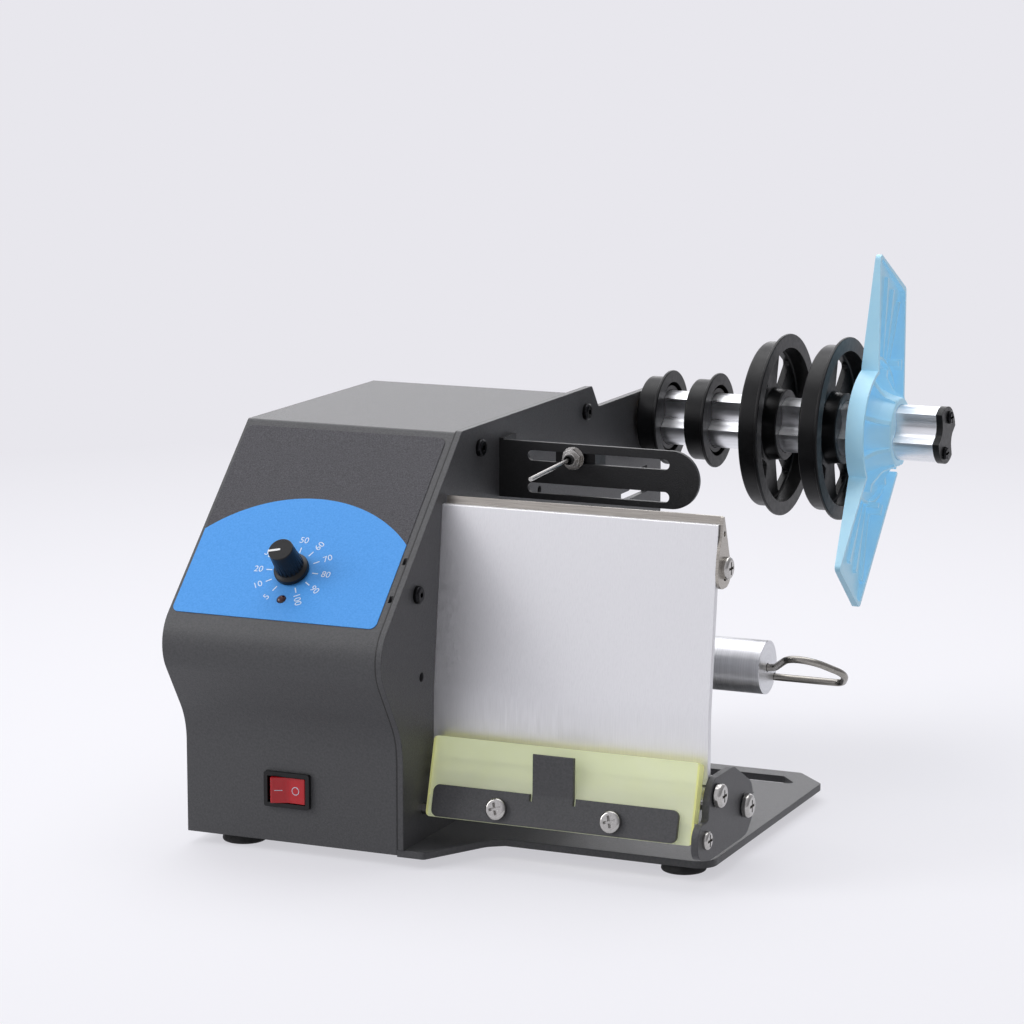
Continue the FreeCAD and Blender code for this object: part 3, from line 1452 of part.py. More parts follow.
clamp_front = -d("clamp_sheet")
tab_foot = d("clamp_high") - d("clamp_corner")
clamp = new_body("clamp_bar")
add(clamp, "ClampPlate", XZ, clamp_front, ZERO,
    box(d("clamp_left"), d("clamp_low"), d("clamp_right"), d("clamp_high"), d("clamp_corner")))
add(clamp, "FingerTab", YZ, d("tab_left"), d("tab_right"), outline([
    (clamp_front, tab_foot),
    (ZERO, tab_foot),
    (ZERO, d("clamp_high"), d("clamp_corner")),
    (-d("tab_tilt_reach"), d("tab_high"), d("clamp_sheet") / 4),
    (clamp_front - d("tab_tilt_reach"), d("tab_high"), d("clamp_sheet") / 4),
    (clamp_front, d("clamp_high"), d("clamp_corner") + d("clamp_sheet")),
]))
for name, left in (("ReliefLeft", d("tab_left") - d("tab_relief")), ("ReliefRight", d("tab_right"))):
    cut(clamp, name, XZ, clamp_front - over, over,
        box(left, d("clamp_high") - d("tab_relief_depth"), left + d("tab_relief"), d("clamp_high") + over))
cut(clamp, "ClampScrewHoles", XZ, clamp_front - over, over,
    circles([(x, s, d("screw_four_hole")) for x, s in clamp_screws]))
node(clamp, flap_base, tilt=flap_tilt)

# Rewind spool with its wire clip, bushing, coupling and gear motor

spool_centre = (d("spool_y"), d("spool_z"))
clip_cos = cos(d("clip_angle"))
clip_sin = sin(d("clip_angle"))
spool = new_body("rewind_spool")
turned(spool, "SpoolTurned", [
    (d("spool_tail"), ZERO),
    (d("spool_right"), ZERO),
    (d("spool_right"), d("spool_radius")),
    (d("spool_left"), d("spool_radius")),
    (d("spool_left"), d("spool_journal")),
    (d("spool_tail"), d("spool_journal")),
], centre=spool_centre)
cut(spool, "ClipBores", YZ, d("spool_right") - d("clip_bore_depth"), d("spool_right") + over,
    circles([(d("spool_y"), d("spool_z"), d("clip_bore"))]))
cut(spool, "ClipGroove", YZ, d("spool_right") - d("clip_bore_depth"), d("spool_right") + over,
    circles([(d("spool_y") + d("clip_offset") * clip_cos, d("spool_z") + d("clip_offset") * clip_sin,
              d("clip_bore"))]))
node(spool)

clip = new_body("rewind_clip")
clip_start = d("spool_right") - d("clip_leg")
clip_path = new_sketch(clip, "ClipPath", XZ, ZERO)
clip_far = d("spool_right") + d("clip_length")
outline([
    (clip_start, ZERO),
    (d("spool_right") + d("clip_first_bend"), ZERO, d("clip_bend_first")),
    (d("spool_right") + d("clip_shoulder"), -d("clip_side"), d("clip_bend_side")),
    (d("spool_right") + d("clip_widest") + d("clip_widest_over"), -d("clip_side"), d("clip_bend_wide")),
    (clip_far + d("clip_point_over"), ZERO, d("clip_bend_side")),
    (clip_far - d("clip_point_back"), d("clip_offset"), d("clip_bend_last")),
    (clip_start, d("clip_offset")),
], closed=False)(clip_path)
clip_ring = new_sketch(clip, "ClipRing", YZ, clip_start)
circles([(ZERO, ZERO, d("clip_wire"))])(clip_ring)
wire = clip.newObject("PartDesign::AdditivePipe", "ClipWire")
wire.Profile = clip_ring
wire.Spine = (clip_path, ["Edge%d" % (index + 1) for index in range(11)])
node(clip, (ZERO, d("spool_y"), d("spool_z")), tilt=d("clip_angle") - 90)


def bushing(label, centre, outer, bore, flange, inner_x, face_x):
    sleeve = new_body(label)
    turned(sleeve, label + "Turned", [
        (inner_x, bore),
        (face_x, bore),
        (face_x, outer),
        (sheet_left, outer),
        (sheet_left, flange),
        (sheet_left - d("bush_flange_thickness"), flange),
        (sheet_left - d("bush_flange_thickness"), outer),
        (inner_x, outer),
    ], centre=centre)
    return node(sleeve)


bushing("spool_bushing", spool_centre, d("bush_radius"), d("spool_journal") + fit, d("bush_flange"),
        d("bush_inner"), d("bush_face"))

motor = new_body("gear_motor")
turned(motor, "MotorTurned", [
    (d("motor_left"), ZERO),
    (d("motor_right") - d("motor_bore_depth"), ZERO),
    (d("motor_right") - d("motor_bore_depth"), d("motor_shaft_radius") + fit),
    (d("motor_right"), d("motor_shaft_radius") + fit),
    (d("motor_right"), d("motor_radius"), d("motor_edge_round")),
    (d("motor_gear_left"), d("motor_radius"), d("motor_edge_round")),
    (d("motor_gear_left"), d("motor_can_radius")),
    (d("motor_left"), d("motor_can_radius"), d("motor_end_round")),
], centre=spool_centre)
node(motor)

motor_shaft = new_body("motor_shaft")
add(motor_shaft, "MotorShaft", YZ, d("motor_right") - d("motor_shaft_seat"),
    d("spool_tail") - d("motor_shaft_gap"),
    circles([(spool_centre[0], spool_centre[1], d("motor_shaft_radius"))]))
node(motor_shaft)

coupling = new_body("spool_coupling")
turned(coupling, "CouplingTurned", [
    (d("motor_right") + over, d("motor_shaft_radius") + fit / 2),
    (d("spool_tail") - d("coupling_gap"), d("motor_shaft_radius") + fit / 2),
    (d("spool_tail") - d("coupling_gap"), d("spool_journal") + fit / 2),
    (d("bush_inner") - d("coupling_inset"), d("spool_journal") + fit / 2),
    (d("bush_inner") - d("coupling_inset"), d("coupling_radius"), d("coupling_edge_round")),
    (d("motor_right") + over, d("coupling_radius"), d("coupling_edge_round")),
], centre=spool_centre)
node(coupling)

# Control board on the base plate

board = new_body("control_board")
board_right = d("board_x") + d("board_half_x")
board_left = d("board_x") - d("board_half_x")
board_front = d("board_y") - d("board_half_y")
board_back = d("board_y") + d("board_half_y")
board_top = d("board_z") + d("board_sheet")
add(board, "BoardSheet", XY, d("board_z"), board_top, box(board_left, board_front, board_right, board_back))
cut(board, "BoardHoles", XY, d("board_z") - over, board_top + over,
    circles([(x, y, d("screw_three_hole")) for x, y in board_places]))
block_front = board_front + d("block_front_inset")
solder = board_top - d("solder_depth")
add(board, "TerminalBlock", XY, solder, board_top + d("block_height"),
    box(board_left + d("block_inset"), block_front, board_right - d("block_right_inset"),
        block_front + d("block_depth")))
sink_back = board_back - d("sink_depth")
add(board, "HeatSink", XY, solder, board_top + d("sink_height"),
    box(board_left + d("sink_inset"), sink_back - d("sink_depth"),
        board_left + d("sink_inset") + d("sink_width"), sink_back))
add(board, "Capacitor", XY, solder, board_top + d("capacitor_height"),
    circles([(board_right - d("capacitor_inset"), board_back - d("capacitor_inset"), d("capacitor_radius"))]))
node(board)

# Reel: bushing in the arm, lobed shaft, friction brake, hubs, guide blade and end cap

reel_centre = (d("reel_y"), d("reel_z"))
bushing("reel_bushing", reel_centre, d("reel_bush_radius"), d("bar_journal") + fit, d("reel_bush_flange"),
        d("reel_bush_inner"), d("reel_bush_face"))


def reel_base(x):
    return (x, d("reel_y"), d("reel_z"))


def flute_corners(side, shift, corners):
    """Corners given along and across one flute of the lobed section."""
    angle = d("flute_angle") + 180.0 * side
    placed = []
    for corner in corners:
        along = as_size(corner[0]) + shift
        across = as_size(corner[1])
        y = along * cos(angle) - across * sin(angle)
        z = along * sin(angle) + across * cos(angle)
        placed.append((y, z) + tuple(corner[2:]))
    return placed


reel_shaft = new_body("reel_shaft")
turned(reel_shaft, "ReelTurned", [
    (d("bar_tail"), ZERO),
    (d("bar_right"), ZERO),
    (d("bar_right"), d("bar_radius")),
    (d("bar_left"), d("bar_radius")),
    (d("bar_left"), d("bar_journal")),
    (d("bar_tail"), d("bar_journal")),
])
flute_open = [
    (d("flute_apex"), 0, d("flute_round")),
    (d("flute_apex") + d("flute_reach"), -d("flute_spread")),
    (d("flute_apex") + d("flute_reach"), d("flute_spread")),
]
for side in (0, 1):
    cut(reel_shaft, "ReelFlute%d" % (side + 1), YZ, d("bar_left"), d("bar_right") + over,
        outline(flute_corners(side, ZERO, flute_open)))
cap_places = [(d("cap_screw_y"), d("cap_screw_z")), (-d("cap_screw_y"), -d("cap_screw_z"))]
cut(reel_shaft, "CapThreads", YZ, d("bar_right") - d("rod_thread_depth"), d("bar_right") + over,
    circles([(y, z, d("screw_three_hole")) for y, z in cap_places]))
node(reel_shaft, reel_base(ZERO))

cap = new_body("reel_end_cap")
cap_right = d("bar_right") + d("cap_thickness")
add(cap, "CapDisc", YZ, d("bar_right"), cap_right, circles([(ZERO, ZERO, d("bar_radius") + d("cap_grow"))]))
for side in (0, 1):
    cut(cap, "CapFlute%d" % (side + 1), YZ, d("bar_right") - over, cap_right + over,
        outline(flute_corners(side, d("cap_grow"), flute_open)))
cut(cap, "CapHoles", YZ, d("bar_right") - over, cap_right + over,
    circles([(y, z, d("screw_three_hole")) for y, z in cap_places]))
node(cap, reel_base(ZERO))

brake_left = d("reel_bush_inner") - d("brake_disc_thickness")
disc = new_body("brake_disc")
turned(disc, "BrakeDiscTurned", [
    (brake_left, d("bar_journal") + fit / 2),
    (d("reel_bush_inner") - d("hair_gap"), d("bar_journal") + fit / 2),
    (d("reel_bush_inner") - d("hair_gap"), d("brake_disc_radius")),
    (brake_left, d("brake_disc_radius")),
])
node(disc, reel_base(ZERO))

spring = new_body("brake_springs")
spring_right = brake_left - d("hair_gap")
rise = d("brake_spring_rise")
thick = d("brake_spring_thickness")
turned(spring, "BrakeSpringTurned", [
    (spring_right, d("bar_journal") + fit / 2),
    (spring_right - rise, d("brake_spring_radius")),
    (spring_right - rise - thick, d("brake_spring_radius")),
    (spring_right - thick, d("bar_journal") + d("brake_spring_waist")),
    (spring_right - rise * 2 - thick * 2, d("brake_spring_radius") - d("brake_spring_neck")),
    (spring_right - rise * 2 - thick * 2, d("bar_journal") + fit / 2),
])
node(spring, reel_base(ZERO))

brake_nut = new_body("brake_nut")
nut_right = spring_right - rise * 2 - thick * 2 - d("hair_gap")
nut_left = nut_right - d("brake_nut_thickness")
add(brake_nut, "BrakeNutBlock", YZ, nut_left, nut_right, outline(
    [(d("brake_nut_radius") * cos(60.0 * index), d("brake_nut_radius") * sin(60.0 * index))
     for index in range(6)]))
cut(brake_nut, "BrakeNutBore", YZ, nut_left - over, nut_right + over,
    circles([(ZERO, ZERO, d("bar_journal") + fit / 2)]))
node(brake_nut, reel_base(ZERO))


def hub_keys(host, start, end):
    """Two inner keys that ride in the shaft's flutes."""
    key = [
        (d("flute_apex"), 0, d("flute_round")),
        (d("flute_apex") + d("key_shoulder"), -d("key_shoulder_half")),
        (d("flute_apex") + d("key_root"), -d("key_root_half")),
        (d("flute_apex") + d("key_root"), d("key_root_half")),
        (d("flute_apex") + d("key_shoulder"), d("key_shoulder_half")),
    ]
    for side in (0, 1):
        add(host, "HubKey%d" % (side + 1), YZ, start, end,
            outline(flute_corners(side, d("hub_fit") * 1.25, key)))


bore = d("bar_radius") + d("hub_fit")


def small_hub(label, x):
    hub = new_body(label)
    inner = d("small_drum_radius") - d("small_wall")
    turned(hub, label + "Turned", [
        (ZERO, bore),
        (d("small_boss_height"), bore),
        (d("small_boss_height"), d("small_boss_radius")),
        (d("small_web"), d("small_boss_radius")),
        (d("small_web"), inner, d("hub_edge_round")),
        (d("small_width"), inner),
        (d("small_width"), d("small_flange_radius"), d("hub_edge_round")),
        (d("small_width") - d("hub_flange_thickness"), d("small_flange_radius"), d("hub_edge_round")),
        (d("small_width") - d("hub_flange_thickness"), d("small_drum_radius"), d("hub_foot_round")),
        (ZERO, d("small_drum_radius"), d("hub_rim_round")),
    ])
    hub_keys(hub, ZERO, d("small_boss_height"))
    return node(hub, reel_base(x))


def large_hub(label, x):
    hub = new_body(label)
    inner = d("large_drum_radius") - d("large_wall")
    turned(hub, label + "Turned", [
        (ZERO, bore),
        (d("large_width"), bore),
        (d("large_width"), d("large_boss_radius"), d("hub_edge_round")),
        (d("large_web"), d("large_boss_radius"), d("hub_foot_round")),
        (d("large_web"), inner, d("hub_foot_round")),
        (d("large_width"), inner),
        (d("large_width"), d("large_flange_radius"), d("hub_edge_round")),
        (d("large_width") - d("hub_flange_thickness"), d("large_flange_radius"), d("hub_edge_round")),
        (d("large_width") - d("hub_flange_thickness"), d("large_drum_radius"), d("hub_foot_round")),
        (ZERO, d("large_drum_radius"), d("hub_rim_round")),
    ])
    hub_keys(hub, ZERO, d("large_width"))
    share = 180.0 / SIZES["large_window_count"]
    tangent = sin(share) / cos(share)
    inner_half = d("large_window_inner") * tangent - d("large_spoke_half_inner")
    outer_half = d("large_window_outer") * tangent - d("large_spoke_half_outer")
    window = cut(hub, "HubWindow", YZ, -over, d("large_web") + over, outline([
        (d("large_window_inner"), -inner_half, d("window_corner_inner")),
        (d("large_window_outer"), -outer_half, d("window_corner_outer")),
        (d("large_window_outer"), outer_half, d("window_corner_outer")),
        (d("large_window_inner"), inner_half, d("window_corner_inner")),
    ]))
    windows = hub.newObject("PartDesign::PolarPattern", "HubWindows")
    windows.Originals = [window]
    windows.Axis = (window.Profile[0], ["N_Axis"])
    windows.Angle = 360
    windows.Occurrences = int(SIZES["large_window_count"])
    windows.setExpression("Occurrences", "Dims.large_window_count")
    hub.Tip = windows
    return node(hub, reel_base(x))


small_hub("small_hub_inner", d("small_one_x"))
small_hub("small_hub_outer", d("small_two_x"))
large_hub("large_hub_inner", d("large_one_x"))
large_hub("large_hub_outer", d("large_two_x"))


# Guide blade: a two-armed tray with a sloping floor, tapered ribs and a domed hub

def arm_point(arm, along, across):
    along = as_size(along)
    across = as_size(across)
    if arm == 0:
        return (across, along)
    return (-sin(d("guide_arm_turn")) * along + across * -cos(d("guide_arm_turn")),
            cos(d("guide_arm_turn")) * along - across * sin(d("guide_arm_turn")))


def arm_corners(arm, inset):
    if arm == 0:
        near, far, tip, far_tip = "guide_up_near", "guide_up_far", "guide_up_tip", "guide_up_far_tip"
    else:
        near, far, tip, far_tip = "guide_low_near", "guide_low_far", "guide_low_tip", "guide_low_far_tip"
    shape = [
        (as_size(0), d(near) + inset),
        (as_size(0), d(far) - inset),
        (d(far_tip) - inset, d(far) - inset, d("guide_far_corner")),
        (d(tip) - inset * 1.3, d(near) + inset, d("guide_tip_corner")),
    ]
    return [arm_point(arm, corner[0], corner[1]) + tuple(corner[2:]) for corner in shape]


def taper_cut(host, name, arm, x, above):
    """Removes what lies below, or above, the sloping floor line of one arm."""
    reach = d("guide_reach")
    start = d("guide_taper_start")
    climb = d("guide_tip_rise") * (reach - start) / (d("guide_up_tip") - start)
    margin = d("guide_tool_margin")
    far_x = d("guide_rim") + margin if above else d("guide_floor") - margin
    turn = None if arm == 0 else d("guide_arm_turn")
    cut(host, name, XZ, -d("guide_half_width"), d("guide_half_width"), outline([
        (x, start),
        (x + climb, reach),
        (far_x, reach),
        (far_x, start),
    ]), turn)


def tray_solid(label, inset, floor_x, top_x):
    tray = new_body(label)
    add(tray, label + "Disc", YZ, floor_x, top_x, circles([(ZERO, ZERO, d("guide_bulge") - inset)]))
    for arm in (0, 1):
        add(tray, label + "Arm%d" % (arm + 1), YZ, floor_x, top_x, outline(arm_corners(arm, inset)))
    for arm in (0, 1):
        taper_cut(tray, label + "Taper%d" % (arm + 1), arm, floor_x, False)
    return tray


tray_outer = tray_solid("TrayOuter", ZERO, d("guide_floor"), d("guide_rim"))
cut(tray_outer, "TrayBore", YZ, d("guide_floor") - over, d("guide_rim") + over,
    circles([(ZERO, ZERO, bore + over)]))
tray_inner = tray_solid("TrayInner", d("guide_wall"), d("guide_floor") + d("guide_sheet"),
                        d("guide_rim") + over)
tray = doc.addObject("Part::Cut", "Tray")
tray.Base = tray_outer
tray.Tool = tray_inner

dome_step = (d("guide_hub_end") - d("guide_floor")) * 0.36
guide_hub = new_body("GuideHub")
turned(guide_hub, "GuideHubTurned", [
    (d("guide_floor"), bore),
    (d("guide_hub_end"), bore),
    (d("guide_hub_end"), d("guide_hub_neck"), d("hub_rim_round")),
    (d("guide_hub_end") - dome_step, d("guide_hub_neck") + dome_step / 4, dome_step),
    (d("guide_floor") + d("guide_sheet") * 2.5, d("guide_dome_middle"), d("guide_sheet") * 2),
    (d("guide_floor") + d("guide_sheet"), d("guide_dome_base")),
    (d("guide_floor"), d("guide_dome_base")),
])
hub_keys(guide_hub, d("guide_floor"), d("guide_hub_end"))
bump = add(guide_hub, "HubRidge", XZ, -d("guide_bump"), d("guide_bump"), outline([
    (d("guide_floor") + over, bore + over),
    (d("guide_hub_end") - d("guide_bump") / 2, bore + over),
    (d("guide_hub_end") - d("guide_bump") / 2, d("guide_hub_neck") + d("guide_bump"), d("guide_bump") / 2),
    (d("guide_hub_end") - dome_step, d("guide_hub_radius") + d("guide_bump"), dome_step),
    (d("guide_rim") - d("guide_wall"), d("guide_bulge") - d("guide_wall") * 2.5, dome_step / 2),
    (d("guide_rim") - d("guide_wall"), d("guide_bulge") - d("guide_wall") / 2),
    (d("guide_floor") + over, d("guide_bulge") - d("guide_wall") / 2),
]), d("guide_bump_turn"))
bumps = guide_hub.newObject("PartDesign::PolarPattern", "HubBumps")
bumps.Originals = [bump]
bumps.Axis = (guide_hub.Origin.OriginFeatures[0], [""])
bumps.Angle = 360
bumps.Occurrences = int(SIZES["guide_bump_count"])
bumps.setExpression("Occurrences", "Dims.guide_bump_count")
guide_hub.Tip = bumps

arcs = new_body("GuideArcRing")
add(arcs, "ArcRing", YZ, d("guide_floor"), d("guide_floor") + d("guide_sheet") + d("guide_arc_height"),
    circles([(ZERO, ZERO, d("guide_arc_inner")), (ZERO, ZERO, d("guide_arc_outer"))]))
arc_ribs = doc.addObject("Part::Common", "GuideArcs")
arc_ribs.Base = arcs
arc_ribs.Tool = tray_outer
guide_parts = [tray, guide_hub, arc_ribs]
rib_floor = d("guide_floor") + d("guide_sheet") / 3
for arm, side in ((0, "up"), (1, "low")):
    ribs = new_body("GuideRibs%d" % (arm + 1))
    for index in range(3):
        root = d("guide_rib_root_across") + d("guide_rib_root_gap") * (index - 1)
        tip = d("guide_%s_rib_across" % side) + d("guide_rib_tip_gap") * (index - 1)
        root_along = d("guide_rib_root") - d("guide_rib_root_step") * index
        tip_along = d("guide_%s_rib_long" % side) - d("guide_%s_rib_step" % side) * index
        root_half = d("guide_rib_root_width") / 2
        tip_half = d("guide_rib_tip_width") / 2
        add(ribs, "Rib%d%d" % (arm + 1, index + 1), YZ, rib_floor, d("guide_rim") + over, outline([
            arm_point(arm, root_along, root - root_half),
            arm_point(arm, root_along, root + root_half),
            arm_point(arm, tip_along, tip + tip_half),
            arm_point(arm, tip_along, tip - tip_half),
        ]))
    taper_cut(ribs, "RibFoot%d" % (arm + 1), arm, rib_floor, False)
    taper_cut(ribs, "RibTop%d" % (arm + 1), arm,
              d("guide_floor") + d("guide_sheet") + d("guide_rib_height"), True)
    guide_parts.append(ribs)
guide = doc.addObject("Part::MultiFuse", "guide_blade")
guide.Shapes = guide_parts
node(guide, reel_base(ZERO))

# Label sensor on its slotted bracket

bracket = new_body("sensor_bracket")
bracket_front = d("bracket_front")
bracket_back = bracket_front + d("bracket_sheet")
round_end = (d("bracket_top") - d("bracket_bottom")) / 2 - d("hair_gap")
add(bracket, "BracketPlate", XZ, bracket_front, bracket_back, outline([
    (ZERO, d("bracket_bottom")),
    (d("bracket_right"), d("bracket_bottom"), round_end),
    (d("bracket_right"), d("bracket_top"), round_end),
    (ZERO, d("bracket_top")),
]))
add(bracket, "BracketFlange", YZ, ZERO, d("bracket_sheet"),
    box(bracket_front, d("bracket_bottom"), d("bracket_flange_back"), d("bracket_flange_top"),
        d("bracket_sheet") / 4))
for name, height in (("BracketUpperSlot", d("slot_upper")), ("BracketLowerSlot", d("slot_lower"))):
    cut(bracket, name, XZ, bracket_front - over, bracket_back + over,
        box(d("slot_start"), height - d("slot_half"), d("slot_end"), height + d("slot_half"),
            d("slot_half") - d("running_hair") * 2))
cut(bracket, "BracketHoles", YZ, -over, d("bracket_sheet") + over,
    circles([(y, z, d("screw_three_hole")) for y, z in bracket_places]))
node(bracket)

sensor_x = d("sensor_x")
sensor_z = d("slot_upper")
bush_front = bracket_front - d("sensor_bush_proud")
lever_y = bush_front + d("lever_inset")
sensor = new_body("sensor_body")
add(sensor, "SensorBlock", XZ, bracket_back + fit, bracket_back + d("sensor_body_depth"),
    box(sensor_x - d("sensor_body_half"), d("sensor_body_bottom"), sensor_x + d("sensor_body_half"),
        d("sensor_body_top"), d("corner_small") / 2))
add(sensor, "SensorBush", XZ, bush_front, bracket_back + over,
    circles([(sensor_x, sensor_z, d("sensor_bush_radius"))]))
cut(sensor, "SensorBushBore", XZ, bush_front - over, bush_front + d("sensor_bush_bore_depth"),
    circles([(sensor_x, sensor_z, d("sensor_bush_bore"))]))
pin_half = d("sensor_bush_radius") - fit
add(sensor, "SensorPin", YZ, sensor_x - pin_half, sensor_x + pin_half,
    circles([(lever_y, sensor_z, d("lever_pin"))]))
node(sensor)

sensor_nut = new_body("sensor_nut")
washer_front = bracket_front - d("sensor_washer_height")
nut_front = washer_front - d("sensor_nut_height")
sensor_hex = [(sensor_x + d("sensor_nut_radius") * cos(60.0 * index + 20),
               sensor_z + d("sensor_nut_radius") * sin(60.0 * index + 20)) for index in range(6)]
add(sensor_nut, "SensorWasher", XZ, washer_front, bracket_front,
    circles([(sensor_x, sensor_z, d("sensor_washer_radius"))]))
add(sensor_nut, "SensorHex", XZ, nut_front, washer_front, outline(sensor_hex))
add(sensor_nut, "SensorCollar", XZ, nut_front - d("sensor_collar_height"), nut_front,
    circles([(sensor_x, sensor_z, d("sensor_collar_radius"))]))
cut(sensor_nut, "SensorNutBore", XZ, bush_front - over, bracket_front + over,
    circles([(sensor_x, sensor_z, d("sensor_bush_radius") + fit)]))
node(sensor_nut)

lever = new_body("sensor_lever")
lever_half = d("lever_half")
add(lever, "LeverEye", YZ, -lever_half, lever_half, circles([(ZERO, ZERO, d("lever_eye"))]))
lever_path = new_sketch(lever, "LeverPath", YZ, ZERO)
lever_root = d("lever_pin") + fit
outline([
    (-lever_root, ZERO),
    (d("lever_end_y") - lever_y, -d("lever_drop")),
], closed=False)(lever_path)
lever_ring = new_sketch(lever, "LeverRing", XZ, lever_root)
circles([(ZERO, ZERO, d("lever_radius"))])(lever_ring)
arm = lever.newObject("PartDesign::AdditivePipe", "LeverArm")
arm.Profile = lever_ring
arm.Spine = (lever_path, ["Edge1"])
cut(lever, "LeverBore", YZ, -lever_half - over, lever_half + over,
    circles([(ZERO, ZERO, d("lever_pin") + fit)]))
node(lever, (sensor_x, lever_y, sensor_z))

# Stiffener behind the arm

stiffener = new_body("arm_stiffener")
add(stiffener, "StiffenerWeb", YZ, sheet_left - d("stiffener_sheet"), sheet_left, outline([
    (d("stiffener_front"), d("stiffener_low")),
    (d("stiffener_back"), d("stiffener_low") - d("stiffener_slant"), d("stiffener_corner")),
    (d("stiffener_back"), arm_top - d("stiffener_margin"), d("stiffener_corner")),
    (d("arm_neck_y") - d("stiffener_neck"), arm_top - d("stiffener_margin")),
    (d("stiffener_front") + d("stiffener_step"), arm_top + d("stiffener_lift"), d("corner_small")),
    (d("stiffener_front"), arm_top + d("stiffener_lift"), d("corner_small")),
]))
cut(stiffener, "StiffenerHole", YZ, sheet_left - d("stiffener_sheet") - over, sheet_left + over,
    circles([(button_places[1][0], button_places[1][1], d("screw_four_hole"))]))
node(stiffener)


# Screws: one pattern of each kind, drawn along X with the head on the right

dome_share = 0.55
socket_floor_share = 0.3
small_head_share = 0.72
small_height_share = 0.8
short_head_share = 0.92
short_height_share = 0.85
cap_head_share = 0.78
cap_height_share = 0.7


def screw_pattern(label, shank, length, head, height, socket=None, cross=False):
    pattern = new_body(label)
    turned(pattern, label + "Turned", [
        (-length, ZERO),
        (height, ZERO),
        (height, head, height * dome_share),
        (ZERO, head),
        (ZERO, shank),
        (-length, shank),
    ])
    if socket is not None:
        cut(pattern, label + "Socket", YZ, height * socket_floor_share, height + over, outline(
            [(socket * cos(60.0 * index), socket * sin(60.0 * index)) for index in range(6)]))
    if cross:
        reach = d("cross_reach")
        half = d("cross_half")
        for name, wide, high in (("Level", reach, half), ("Upright", half, reach)):
            cut(pattern, label + name, YZ, height - d("cross_depth"), height + over,
                box(-wide, -high, wide, high))
    return pattern


button = screw_pattern("ButtonPattern", d("screw_four"), d("button_length"), d("button_radius"),
                       d("button_height"), socket=d("button_socket"))
button_three = screw_pattern("SmallButtonPattern", d("screw_three"), d("small_screw_length"),
                             d("button_radius") * small_head_share, d("button_height") * small_height_share,
                             socket=d("button_socket") * small_height_share)
pan = screw_pattern("PanPattern", d("screw_four"), d("rod_screw_length"), d("pan_radius"), d("pan_height"),
                    cross=True)
short_head = d("pan_radius") * short_head_share
short_height = d("pan_height") * short_height_share
pan_short = screw_pattern("EarScrewPattern", d("screw_four"), d("ear_screw_length"), short_head,
                          short_height, cross=True)
clamp_pan = screw_pattern("ClampPattern", d("screw_four"), d("clamp_screw_length"), short_head,
                          short_height, cross=True)
cap_screw = screw_pattern("CapPattern", d("screw_three"), d("cap_screw_length"),
                          d("button_radius") * cap_head_share, d("button_height") * cap_height_share,
                          cross=True)
foot_screw = screw_pattern("FootScrewPattern", d("screw_four"), d("foot_screw_length"), d("button_radius"),
                           d("foot_screw_height"))
washer = new_body("WasherPattern")
turned(washer, "WasherTurned", [
    (ZERO, d("screw_four") + fit),
    (d("washer_height"), d("screw_four") + fit),
    (d("washer_height"), d("washer_radius")),
    (ZERO, d("washer_radius")),
])
foot = new_body("FootPattern")
turned(foot, "FootTurned", [
    (d("screw_four") + fit, ZERO),
    (d("foot_top_radius"), ZERO),
    (d("foot_radius"), -d("foot_height"), d("foot_edge_round")),
    (d("button_radius") + d("foot_recess_gap"), -d("foot_height")),
    (d("button_radius") + d("foot_recess_gap"), -d("foot_height") + d("foot_recess")),
    (d("screw_four") + fit, -d("foot_height") + d("foot_recess")),
], upright=True)
post = new_body("PostPattern")
motor_post_length = sheet_left - d("motor_right")
turned(post, "PostTurned", [
    (-motor_post_length + fit, d("screw_three") + fit),
    (ZERO, d("screw_three") + fit),
    (ZERO, d("standoff_radius")),
    (-motor_post_length + fit, d("standoff_radius")),
])
board_post = new_body("BoardPostPattern")
turned(board_post, "BoardPostTurned", [
    (d("base_thickness"), d("screw_three") + fit),
    (d("board_z"), d("screw_three") + fit),
    (d("board_z"), d("standoff_radius")),
    (d("base_thickness"), d("standoff_radius")),
])
doc.recompute()

button_group = [(ZERO, y, z, TO_RIGHT) for y, z in button_places]
button_group = button_group + [
    (x, y, d("frame_bottom") + d("plate_thickness"), TO_TOP) for x, y in flange_screws]
button_group = button_group + [(x, y, d("rear_bottom") + skin, TO_TOP) for x, y in rear_screws]
copies("frame_button_screws", button, button_group)
copies("rod_screws", pan, [
    (sheet_left, cross_bar_place[0], cross_bar_place[1], TO_LEFT),
    (end_right + d("washer_height"), d("rod_one_y"), d("rod_one_z"), TO_RIGHT),
    (end_right + d("washer_height"), d("rod_two_y"), d("rod_two_z"), TO_RIGHT),
    (sheet_left, d("rod_one_y"), d("rod_one_z"), TO_LEFT),
    (sheet_left, d("rod_two_y"), d("rod_two_z"), TO_LEFT),
])
copies("end_plate_washers", washer, [(end_right, y, z, TO_RIGHT) for y, z in end_screws[:2]])
copies("guide_rods", rods, [
    (ZERO, d("rod_one_y"), d("rod_one_z"), TO_RIGHT),
    (ZERO, d("rod_two_y"), d("rod_two_z"), TO_RIGHT),
])
copies("flap_pivot_pins", pins, [
    (ZERO, d("pivot_y"), d("pivot_z"), TO_RIGHT),
    (end_left, d("pivot_y"), d("pivot_z"), TO_LEFT),
])
pivot_length = d("plate_thickness") + d("pin_thread_depth") - d("pin_fit") * 4
pivot_screw = screw_pattern("PivotScrewPattern", d("screw_three"), pivot_length, d("button_radius"),
                            d("button_height"), cross=True)
doc.recompute()
copies("flap_pivot_screws", pivot_screw, [
    (end_right, d("pivot_y"), d("pivot_z"), TO_RIGHT),
    (sheet_left, d("pivot_y"), d("pivot_z"), TO_LEFT),
])
panel_screw_length = d("bar_back_y") - panel_screw_tip - d("bezel_gap")
